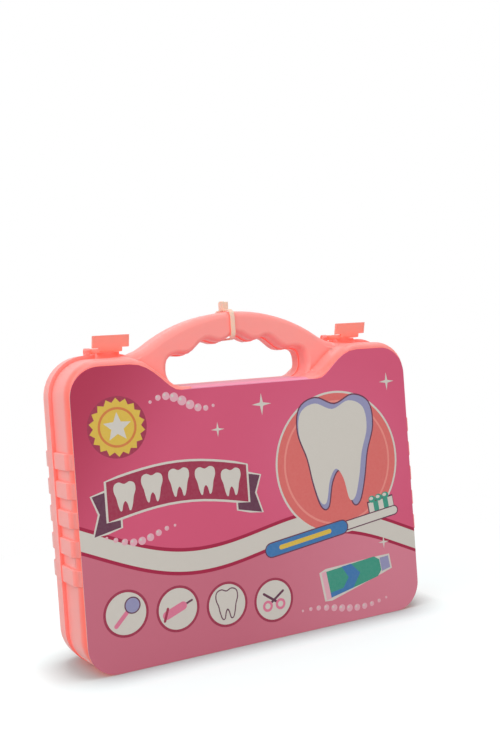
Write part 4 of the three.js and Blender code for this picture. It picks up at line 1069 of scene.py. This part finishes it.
@dataclass
class PrintedCard:
    """The card on the front. Its inks are thin closed prisms on the stock."""

    ink_room: float = 0.1
    ink_level: float = 0.015
    ink_root: float = 0.02
    flap_height: float = 172.0
    # The parts of a normal from which a face lies on top of the flap or on the card's front.
    upward: float = 0.3
    forward: float = 0.7
    layers: dict = field(default_factory=dict)

    def stock(self) -> None:
        """Copies the card, drawn back by the room that the inks take."""
        work = solid_copy("printed_card")
        sagged(work)
        front = min(vertex.co.y for vertex in work.verts)
        for vertex in work.verts:
            vertex.co.y = max(vertex.co.y, front + self.ink_room * MM)
        self.front = front / MM + self.ink_room
        for face in work.faces:
            high = face.calc_center_median().z > self.flap_height * MM
            if face.normal.z > self.upward and high:
                face.material_index = 1
            else:
                face.material_index = 0 if face.normal.y < -self.forward else 2
        piece = shaded(work, "card_stock", 30.0)
        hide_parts("printed_card")
        kept = [face.material_index for face in piece.data.polygons]
        dress(piece, CARD_PRINT, "lid")
        piece.data.materials.append(CARD_FLAP.material())
        piece.data.materials.append(CARD_CORE.material())
        piece.data.polygons.foreach_set("material_index", kept)

    def level(self, place: float) -> float:
        """Returns the level in millimetres of a place in the stack."""
        return self.front - place * self.ink_level

    def stamp(self, ink: Print, place: float, points: list) -> None:
        """Prints one closed shape.

        Args:
            ink: The ink.
            place: Its place in the stack, where a higher one covers a lower one.
            points: The outline as pairs of X and Z, in millimetres.
        """
        work = self.layers.setdefault(ink, bmesh.new())
        prism(work, points, self.level(place), self.front + self.ink_root)

    def rimmed(self, ink: Print, rim: Print, place: float, points: list, width: float) -> None:
        """Prints a shape on a wider copy of itself, which shows as its outline."""
        self.stamp(rim, place, grown(points, width))
        self.stamp(ink, place + 0.4, points)

    def spotlight(self, x: float, z: float, radius: float) -> None:
        """Prints the salmon disc behind the large tooth.

        Args:
            x: Its middle.
            z: The height of its middle.
            radius: Its radius without the white rim.
        """
        self.stamp(Print.WHITE, 0.6, ring(x, z, radius + 1.5, sides=80))
        self.stamp(Print.SALMON, 1.0, ring(x, z, radius, sides=80))
        self.stamp(Print.CORAL, 1.3, ring(x, z, radius - 5.0, sides=80))
        self.stamp(Print.SALMON, 1.6, ring(x, z, radius - 6.5, sides=80))

    def big_tooth(self, x: float, z: float, width: float) -> None:
        """Prints the large plain tooth with its shaded side."""
        self.rimmed(Print.LILAC, Print.PLUM, 2.2, molar(x, z, width), 1.0)
        self.stamp(Print.WHITE, 3.0, molar(x - width * 0.035, z + width * 0.005, width * 0.91))

    def toothbrush(self, tail: tuple, head: tuple) -> None:
        """Prints a toothbrush with paste on its bristles.

        Args:
            tail: The end of its handle.
            head: The end with the bristles.
        """
        line = Vector(head) - Vector(tail)
        along = line.normalized()
        side = Vector((-along.y, along.x))

        def at(share: float, across: float = 0.0) -> tuple:
            """Returns a point by its share of the length and its distance to the side."""
            spot = Vector(tail) + line * share + side * across
            return (spot.x, spot.y)

        def patch(first: float, last: float, low: float, high: float) -> list:
            """Returns a four-cornered patch beside the line."""
            return [at(first, low), at(last, low), at(last, high), at(first, high)]

        self.stamp(Print.PLUM, 3.4, grown(patch(0.79, 0.995, 0.0, 11.0), 0.8))
        for k in range(5):
            first = 0.795 + 0.04 * k
            ink = (Print.WHITE, Print.TEAL)[k % 2]
            self.stamp(ink, 3.7, patch(first, first + 0.04, 0.0, 10.6))
        self.stamp(Print.PLUM, 4.0, grown(bar(at(0.5), at(0.99), 5.6), 0.8))
        self.stamp(Print.WHITE, 4.3, bar(at(0.5), at(0.99), 5.6))
        self.stamp(Print.PLUM, 4.6, grown(bar(at(0.02), at(0.56), 9.0), 0.8))
        self.stamp(Print.BLUE, 4.9, bar(at(0.02), at(0.56), 9.0))
        self.stamp(Print.YELLOW, 5.2, bar(at(0.09), at(0.46), 3.2))
        for k in range(3):
            self.stamp(Print.TEAL, 4.0, ring(*at(0.83 + 0.055 * k, 12.6), 3.0, 0.85, 24))
            self.stamp(Print.WHITE, 4.3, ring(*at(0.825 + 0.055 * k, 13.2), 1.7, 0.7, 20))

    def ribbon(self, x: float, z: float, width: float, height: float, bend: float) -> None:
        """Prints a blank ribbon with folded ends and a row of small teeth.

        Args:
            x: The middle of its length.
            z: The middle of its height.
            width: Its length.
            height: Its height.
            bend: How far its middle rises over its ends.
        """

        def line(first: float, last: float, rise: float, steps: int = 12) -> list:
            """Follows the bent ribbon between two shares of its length.

            Args:
                first: The share where the line begins.
                last: The share where it ends.
                rise: Its height over the ribbon's middle line.
                steps: The number of its steps.

            Returns:
                The points of the line.
            """
            shares = [first + (last - first) * k / steps for k in range(steps + 1)]
            return [
                (x + width * (s - 0.5), z + bend * math.sin(math.pi * s) + rise) for s in shares
            ]

        half = height / 2
        for side in (-1, 1):
            start, stop = (-0.1, 0.08) if side < 0 else (0.92, 1.1)
            low = line(start, stop, -half - 6.0, 2)
            high = line(start, stop, half - 6.0, 2)
            tip = (x + side * width * 0.555, z - 7.0)
            points = [tip] + low + high[::-1] if side < 0 else low + [tip] + high[::-1]
            self.stamp(Print.WHITE, 1.0, grown(points, 1.3))
            self.stamp(Print.PLUM, 1.4, points)
        body = line(0.0, 1.0, -half) + line(0.0, 1.0, half)[::-1]
        self.stamp(Print.WHITE, 1.8, grown(body, 1.5))
        self.stamp(Print.CRIMSON, 2.2, body)
        for k in range(5):
            share = 0.12 + 0.19 * k
            spot = line(share, share, 0.0, 1)[0]
            self.stamp(Print.WHITE, 2.6, molar(spot[0], spot[1] - 1.6, 14.5))

    def paste_tube(self, x: float, z: float, turn: float) -> None:
        """Prints a plain tube of paste.

        Args:
            x: Its middle.
            z: The height of its middle.
            turn: Its turn, in degrees.
        """
        way = Matrix.Rotation(math.radians(turn), 2)

        def set_down(points: list) -> list:
            """Returns the points turned and moved into place."""
            spots = [way @ Vector(point) for point in points]
            return [(x + spot.x, z + spot.y) for spot in spots]

        body = [(-25, -9.5), (16, -7.5), (20, -4), (20, 4), (16, 7.5), (-25, 9.5)]
        crimp = [(-29, -10), (-25, -10), (-25, 10), (-29, 10)]
        cap = [(20.4, -5), (28, -4.4), (28, 4.4), (20.4, 5)]
        sweep = [(-25, -9.5), (-6, -8.6), (2, 0), (-4, 8.6), (-12, 9), (-8, 0), (-14, -6)]
        sweep.append((-25, -6))
        self.stamp(Print.WHITE, 1.0, set_down(grown(crimp[:2] + cap + crimp[2:], 1.6)))
        self.stamp(Print.TEAL, 1.6, set_down(body))
        self.stamp(Print.BLUE, 2.0, set_down(sweep))
        self.stamp(Print.BLUSH, 1.6, set_down(crimp))
        self.stamp(Print.LILAC, 1.6, set_down(cap))

    def badge(self, x: float, z: float, radius: float) -> None:
        """Prints a round white field with a crimson rim."""
        self.stamp(Print.CRIMSON, 0.6, ring(x, z, radius, sides=48))
        self.stamp(Print.WHITE, 1.0, ring(x, z, radius - 1.7, sides=48))

    def badges(self) -> None:
        """Prints the four badges, each with the outline of one tool."""
        radius = 15.0
        places = [(-100.0 + 35.0 * k, 37.0 - 3.5 * k) for k in range(4)]
        for x, z in places:
            self.badge(x, z, radius)
        (ax, az), (bx, bz), (cx, cz), (dx, dz) = places
        self.stamp(Print.ROSE, 1.8, bar((ax - 7, az - 7), (ax + 1.5, az + 1.5), 2.8))
        self.rimmed(Print.LILAC, Print.PLUM, 2.2, ring(ax + 4.5, az + 4.5, 4.6), 0.8)
        self.stamp(Print.ROSE, 1.8, bar((bx - 8, bz - 3), (bx + 3.5, bz + 1.4), 5.6))
        self.stamp(Print.PLUM, 1.4, bar((bx + 3, bz + 1.2), (bx + 10, bz + 4.0), 1.4))
        self.stamp(Print.CRIMSON, 2.2, bar((bx - 9.6, bz - 6.4), (bx - 7.0, bz + 1.2), 1.7))
        self.rimmed(Print.WHITE, Print.PLUM, 1.6, molar(cx, cz - 1, 15.0), 0.8)
        for k, turn in enumerate((35.0, 145.0)):
            sway = math.radians(turn)
            way = Vector((math.cos(sway), math.sin(sway)))
            low = (dx - way.x * 6.0, dz - way.y * 6.0)
            high = (dx + way.x * 9.0, dz + way.y * 9.0)
            self.stamp(Print.PLUM, 1.5 + 0.3 * k, bar(low, high, 1.7))
            self.stamp(Print.ROSE, 2.2, ring(low[0], low[1], 3.8))
            self.stamp(Print.WHITE, 2.6, ring(low[0], low[1], 2.0))

    def seal(self, x: float, z: float) -> None:
        """Prints the starburst seal.

        Args:
            x: Its middle.
            z: The height of its middle.
        """
        self.stamp(Print.CRIMSON, 0.8, ring(x, z, 19.6, sides=60))
        self.stamp(Print.YELLOW, 1.2, star(x, z, 18.6, 15.8, 18))
        self.stamp(Print.ORANGE, 1.6, ring(x, z, 12.8, sides=48))
        self.stamp(Print.YELLOW, 2.0, ring(x, z, 11.2, sides=48))
        self.stamp(Print.WHITE, 2.4, star(x, z, 9.6, 4.2, 5))

    def sparkles(self) -> None:
        """Prints the four-pointed sparkles."""
        places = ((6.0, 160.0, 7.5), (110.0, 168.0, 6.5), (-28.0, 146.0, 5.0), (98.0, 52.0, 4.6))
        for x, z, reach in places:
            self.stamp(Print.WHITE, 3.4, star(x, z, reach, reach * 0.22, 4))

    def bubbles(self) -> None:
        """Prints three trails of bubbles, each bubble with a gleam."""
        trails = (
            BubbleTrail((-52.0, 166.0), 44.0, 9, 0.4),
            BubbleTrail((-86.0, 84.0), 46.0, 9, 2.6, 3.5, 2.6),
            BubbleTrail((62.0, 12.0), 70.0, 12, 1.2, 3.0, 2.6),
        )
        for trail in trails:
            trail.build(Print.BLUSH, self.level(0.6), self.front + self.ink_root, 1.0, 0.0)
            trail.build(Print.WHITE, self.level(0.9), self.front + self.ink_root, 0.32, 0.34)

    def build(self) -> None:
        """Builds the stock and every printed shape."""
        self.stock()
        self.spotlight(64.0, 114.0, 49.0)
        self.big_tooth(64.0, 116.0, 62.0)
        self.toothbrush((4.0, 60.0), (110.0, 74.0))
        self.ribbon(-58.0, 108.0, 98.0, 25.0, 7.0)
        self.paste_tube(74.0, 33.0, 9.0)
        self.badges()
        self.seal(-97.0, 154.0)
        self.sparkles()
        self.bubbles()
        for ink, work in self.layers.items():
            bmesh.ops.recalc_face_normals(work, faces=work.faces)
            mesh = bpy.data.meshes.new(ink.name.lower())
            work.to_mesh(mesh)
            work.free()
            piece = mesh_object("print_" + ink.name.lower(), mesh)
            dress(piece, ink.value, "lid")


@dataclass
class CableTie:
    """The nylon tie round the handle."""

    def build(self) -> None:
        """Smooths and dresses the tie."""
        dress(smoothed("cable_tie", "nylon_tie", 30.0), TIE_NYLON, "tray")


@dataclass
class Bristles:
    """The toy toothbrush's tufts on their pad. Lengths in millimetres."""

    middle: tuple[float, float] = (-104.0, 140.0)
    columns: int = 7
    rows: int = 3
    strands: int = 22
    pitch: tuple[float, float] = (3.6, 3.0)
    tuft_radius: float = 1.15
    strand_radius: float = 0.15
    tip_level: float = 11.7
    pad_front: float = 18.8
    pad_back: float = 20.4
    pad_size: tuple[float, float] = (25.2, 8.4)
    rooted: float = 0.4
    unevenness: float = 0.5
    seed: int = 7

    def build(self) -> None:
        """Grows every strand by a rule and dresses the brush."""
        rule = Rule("brush_tufts")
        columns = rule.count("Columns", self.columns)
        rows = rule.count("Rows", self.rows)
        strands = rule.count("Strands per Tuft", self.strands)
        across = rule.size("Column Pitch", self.pitch[0])
        upward = rule.size("Row Pitch", self.pitch[1])
        reach = rule.size("Tuft Radius", self.tuft_radius)
        thin = rule.size("Strand Radius", self.strand_radius)
        tip = rule.size("Tip Level", self.tip_level)
        root = rule.size("Root Level", self.pad_front + self.rooted)
        uneven = rule.size("Unevenness", self.unevenness)
        seed = rule.count("Seed", self.seed)
        index = rule.node("GeometryNodeInputIndex")
        number = ["DIVIDE", ["ADD", index, 0.5], strands]
        tuft = rule.node(SUM, {0: number}, operation="FLOOR")
        within = rule.node(SUM, {0: index, 1: ["MULTIPLY", tuft, strands]}, operation="SUBTRACT")
        number = ["DIVIDE", ["ADD", tuft, 0.5], columns]
        row = rule.node(SUM, {0: number}, operation="FLOOR")
        column = ["SUBTRACT", tuft, ["MULTIPLY", row, columns]]
        spread = ["SQRT", ["DIVIDE", ["ADD", within, 0.5], strands]]
        out = rule.node(SUM, {0: spread, 1: reach}, operation="MULTIPLY")
        turn = rule.node(SUM, {0: within, 1: GOLDEN_TURN}, operation="MULTIPLY")
        chance = rule.node("FunctionNodeRandomValue", {"ID": index, "Seed": seed})
        front = rule.node(SUM, {0: tip, 1: ["MULTIPLY", chance, uneven]}, operation="ADD")
        spots = {"Y": ["MULTIPLY", ["ADD", root, front], 0.5]}
        for axis, line, lines, pitch, wave, middle in (
            ("X", column, columns, across, "COSINE", self.middle[0]),
            ("Z", row, rows, upward, "SINE", self.middle[1]),
        ):
            centred = ["SUBTRACT", line, ["MULTIPLY", ["SUBTRACT", lines, 1.0], 0.5]]
            strand_place = ["MULTIPLY", [wave, turn], out]
            whole = ["ADD", ["MULTIPLY", centred, pitch], strand_place]
            spots[axis] = ["ADD", whole, middle * MM]
        place = rule.node("ShaderNodeCombineXYZ", spots)
        total = ["MULTIPLY", ["MULTIPLY", columns, rows], strands]
        points = rule.node("GeometryNodePoints", {"Count": total, "Position": place})
        strand = rule.node(
            "GeometryNodeMeshCylinder", {"Vertices": 6, "Radius": 1.0, "Depth": 1.0}
        )
        inputs = {"X": thin, "Y": thin, "Z": ["SUBTRACT", root, front]}
        scale = rule.node("ShaderNodeCombineXYZ", inputs)
        inputs = {"Points": points, "Instance": strand, "Rotation": ALONG_Y, "Scale": scale}
        placed = rule.node("GeometryNodeInstanceOnPoints", inputs)
        depth = self.pad_back - self.pad_front
        size = (self.pad_size[0] * MM, depth * MM, self.pad_size[1] * MM)
        pad = rule.node("GeometryNodeMeshCube", {"Size": size})
        level = (self.pad_front + self.pad_back) / 2
        middle = (self.middle[0] * MM, level * MM, self.middle[1] * MM)
        seated = rule.node("GeometryNodeTransform", {"Geometry": pad, "Translation": middle})
        joined = rule.node("GeometryNodeJoinGeometry", {0: placed})
        rule.tree.links.new(seated.outputs[0], joined.inputs[0])
        piece = rule.finished(joined, BRISTLE_NYLON)
        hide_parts("brush_bristles")
        dress(piece, BRISTLE_NYLON, "tray")


@dataclass
class BarrelMarks:
    """The plain lines printed round the front of the syringe's barrel. Lengths in millimetres."""

    first: float = -88.0
    pitch: float = 6.0
    marks: int = 9
    sweep: float = 70.0
    axis: tuple[float, float] = (12.7, 160.0)
    radius: float = 9.0
    line: float = 0.16
    turn: tuple[float, float, float] = (math.pi / 2, 0.0, -math.pi / 2)

    def build(self) -> None:
        """Lays one arc at each mark, every other one shorter."""
        for share, start, name in ((1.0, 0, "long"), (0.55, 1, "short")):
            rule = Rule(f"barrel_marks_{name}")
            marks = rule.count("Marks", (self.marks - start + 1) // 2)
            pitch = rule.size("Pitch", 2 * self.pitch)
            begin = rule.size("First Mark", self.first + start * self.pitch)
            radius = rule.size("Barrel Radius", self.radius)
            line = rule.size("Line Radius", self.line)
            sweep = rule.number("Sweep", math.radians(self.sweep * share))
            index = rule.node("GeometryNodeInputIndex")
            inputs = {
                "X": ["ADD", ["MULTIPLY", index, pitch], begin],
                "Y": self.axis[0] * MM,
                "Z": self.axis[1] * MM,
            }
            place = rule.node("ShaderNodeCombineXYZ", inputs)
            points = rule.node("GeometryNodePoints", {"Count": marks, "Position": place})
            inputs = {
                "Resolution": 24,
                "Radius": radius,
                "Start Angle": ["MULTIPLY", sweep, -0.5],
                "Sweep Angle": sweep,
            }
            arc = rule.node("GeometryNodeCurveArc", inputs)
            inputs = {"Resolution": 6, "Radius": line}
            round_line = rule.node("GeometryNodeCurvePrimitiveCircle", inputs)
            inputs = {"Curve": arc, "Profile Curve": round_line, "Fill Caps": True}
            bent = rule.node("GeometryNodeCurveToMesh", inputs)
            inputs = {"Points": points, "Instance": bent, "Rotation": self.turn}
            placed = rule.node("GeometryNodeInstanceOnPoints", inputs)
            piece = rule.finished(placed, MARK_INK)
            dress(piece, MARK_INK, "tray")


@dataclass
class PlayTools:
    """The tools inside the case."""

    def build(self) -> None:
        """Smooths and dresses every tool with its own plastic."""
        for node, (finish, body, slot, sharp) in self.finishes().items():
            dress(smoothed(node, "play_" + node, sharp), finish, body)
        Bristles().build()
        BarrelMarks().build()

    def finishes(self) -> dict:
        """Sorts the tools by their plastics and bodies.

        Returns:
            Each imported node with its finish, body, slot and smallest real edge in degrees.
        """
        pink = (TOOL_PINK, "pink_tool_plastic")
        white = (TOOL_WHITE, "white_plastic")
        grey = (TOOL_GREY, "grey_plastic")
        gums = (GUM_RED, "gum_plastic")
        teeth = (TOOTH_WHITE, "white_plastic")
        table = {
            "lower_gum": (gums, "tray", 35.0),
            "lower_teeth": (teeth, "tray", 50.0),
            "upper_gum": (gums, "upper_jaw", 35.0),
            "upper_teeth": (teeth, "upper_jaw", 50.0),
            "jaw_pin": (white, "tray", 40.0),
            "syringe_nozzle": (pink, "tray", 40.0),
            "syringe_barrel": (white, "tray", 40.0),
            "plunger_seal": (grey, "plunger", 40.0),
            "plunger_rod": (pink, "plunger", 40.0),
            "scissor_half_fixed": (grey, "tray", 40.0),
            "scissor_half_moving": (grey, "scissor_half", 40.0),
            "scissor_rivet": (white, "tray", 40.0),
            "glasses_frame": (pink, "tray", 40.0),
            "glasses_pin_left": (white, "tray", 40.0),
            "glasses_pin_right": (white, "tray", 40.0),
            "temple_left": (pink, "temple_left", 40.0),
            "temple_right": (pink, "temple_right", 40.0),
            "mirror_handle": (white, "tray", 40.0),
            "mirror_disc": ((MIRROR_FILM, "mirror_film"), "tray", 40.0),
            "drill_body": (pink, "tray", 40.0),
            "drill_neck": (white, "tray", 40.0),
            "drill_bur": (grey, "tray", 40.0),
            "polisher_head": (white, "tray", 40.0),
            "polisher_handle": (pink, "tray", 40.0),
            "brush_handle": (pink, "tray", 40.0),
            "play_tooth_left": (teeth, "tray", 50.0),
            "play_tooth_right": (teeth, "tray", 50.0),
        }
        return {
            node: (finish, body, slot, sharp)
            for node, ((finish, slot), body, sharp) in table.items()
        }


# Studio


@dataclass(frozen=True)
class Lamp:
    """A soft square lamp. Lengths in metres and power in watts."""

    name: str
    place: tuple[float, float, float]
    size: float
    power: float

    def build(self, target: tuple) -> None:
        """Hangs the lamp so that it faces a point.

        Args:
            target: The point that it faces, in metres.
        """
        data = bpy.data.lights.new(self.name, "AREA")
        data.size = self.size
        data.energy = self.power
        made = bpy.data.objects.new(self.name, data)
        made.location = self.place
        aim = Vector(target) - Vector(self.place)
        made.rotation_euler = aim.to_track_quat("-Z", "Y").to_euler()
        bpy.context.scene.collection.objects.link(made)


@dataclass
class Studio:
    """The camera, lamps and floor. Angles are in degrees and the eye's place in millimetres."""

    yaw: float = -27.11
    pitch: float = -0.72
    roll: float = 4.05
    focal_pixels: float = 910.0
    sensor: float = 36.0
    eye: tuple[float, float, float] = (-280.95, -574.52, 188.00)
    ambient: float = 0.68
    white: tuple[float, float, float, float] = (1.0, 1.0, 1.0, 1.0)
    floor_size: float = 6.0
    # The floor's colour is tinted cyan, so that the pink light that the case throws on it looks
    # grey.
    floor_colour: tuple[float, float, float] = (0.53, 0.6, 0.6)
    floor_lift: float = 0.46
    floor_roughness: float = 0.9
    floor_gloss: float = 0.1
    # Painted shadow: the reach of the ambient occlusion, and the openness below which the floor's
    # lift is gone.
    painted_shadow_reach: float = 28.0
    painted_shadow_from: float = 0.5
    white_from: float = 0.22
    white_to: float = 0.42
    lamp_target: tuple[float, float, float] = (0.0, 0.0, 0.1)
    lamps: tuple[Lamp, ...] = (
        Lamp("key", (-1.6, -0.7, 1.5), 1.8, 16.0),
        Lamp("fill", (-0.3, -1.9, 1.0), 1.8, 9.0),
        Lamp("top", (0.2, 0.5, 2.0), 2.4, 12.0),
    )

    def camera(self) -> None:
        """Stands the camera at the photograph's place and angle."""
        turn = (
            Matrix.Rotation(math.radians(self.yaw), 3, "Z")
            @ Matrix.Rotation(math.radians(self.pitch), 3, "X")
            @ Matrix.Rotation(math.radians(self.roll), 3, "Y")
        )
        right, forward, above = turn.col
        data = bpy.data.cameras.new("camera")
        data.sensor_width = self.sensor
        data.lens = self.focal_pixels / IMAGE_HEIGHT * data.sensor_width
        made = bpy.data.objects.new("camera", data)
        pose = Matrix((right, above, -forward)).transposed().to_4x4()
        pose.translation = Vector(self.eye) * MM
        made.matrix_world = pose
        bpy.context.scene.collection.objects.link(made)
        bpy.context.scene.camera = made

    def sky(self) -> None:
        """Makes the world white to the eye and plain to the object."""
        world = bpy.data.worlds.new("studio")
        bpy.context.scene.world = world
        world.use_nodes = True
        tree = world.node_tree
        tree.nodes.clear()
        path = add_node(tree, "ShaderNodeLightPath").outputs
        seen = ["MAXIMUM", path["Is Camera Ray"], path["Is Transmission Ray"]]
        plain, bright = (
            add_node(tree, "ShaderNodeBackground", {"Color": self.white, "Strength": power})
            for power in (self.ambient, 1.0)
        )
        mixed = add_node(tree, "ShaderNodeMixShader", {0: seen, 1: plain, 2: bright})
        add_node(tree, "ShaderNodeOutputWorld", {"Surface": mixed})

    def floor(self) -> None:
        """Lays a plain pale floor, white to the eye away from the case, with a painted shadow
        round the case over its real shadow.
        """
        half = self.floor_size / 2
        mesh = bpy.data.meshes.new("floor")
        corners = [(-half, -half, 0), (half, -half, 0), (half, half, 0), (-half, half, 0)]
        mesh.from_pydata(corners, [], [(0, 1, 2, 3)])
        found = bpy.data.materials.new("paper_floor")
        found.use_nodes = True
        found.node_tree.nodes.clear()
        node = partial(add_node, found.node_tree)
        seen = node("ShaderNodeLightPath").outputs["Is Camera Ray"]
        # Painted shadow: the lift that whitens the floor to the eye fades out where the case is
        # close.
        reach = {"Distance": self.painted_shadow_reach * MM}
        openness = node("ShaderNodeAmbientOcclusion", reach, samples=16).outputs["AO"]
        inputs = {"Value": openness, "From Min": self.painted_shadow_from, "To Max": self.floor_lift}
        lift = node("ShaderNodeMapRange", inputs)
        inputs = {
            "Base Color": (*self.floor_colour, 1.0),
            "Roughness": self.floor_roughness,
            "Specular IOR Level": self.floor_gloss,
            "Emission Color": self.white,
            "Emission Strength": ["MULTIPLY", seen, lift],
        }
        paper = node("ShaderNodeBsdfPrincipled", inputs)
        bright = node("ShaderNodeEmission", {"Color": self.white})
        place = node("ShaderNodeTexCoord").outputs["Object"]
        inputs = {
            "Value": node("ShaderNodeVectorMath", {0: place}, operation="LENGTH"),
            "From Min": self.white_from,
            "From Max": self.white_to,
        }
        far = node("ShaderNodeMapRange", inputs, interpolation_type="SMOOTHSTEP")
        inputs = {0: ["MULTIPLY", far, seen], 1: paper, 2: bright}
        mixed = node("ShaderNodeMixShader", inputs)
        node("ShaderNodeOutputMaterial", {"Surface": mixed})
        mesh.materials.append(found)
        mesh_object("floor", mesh)

    def build(self) -> None:
        """Builds the whole studio."""
        self.camera()
        self.sky()
        self.floor()
        for lamp in self.lamps:
            lamp.build(self.lamp_target)
        bpy.context.scene.view_settings.view_transform = "Standard"


def main() -> None:
    logging.basicConfig(level=logging.INFO, format="%(message)s")
    CaseShells().build()
    FlipLatches().build()
    PrintedCard().build()
    CableTie().build()
    PlayTools().build()
    Studio().build()


if __name__ == "__main__":
    main()
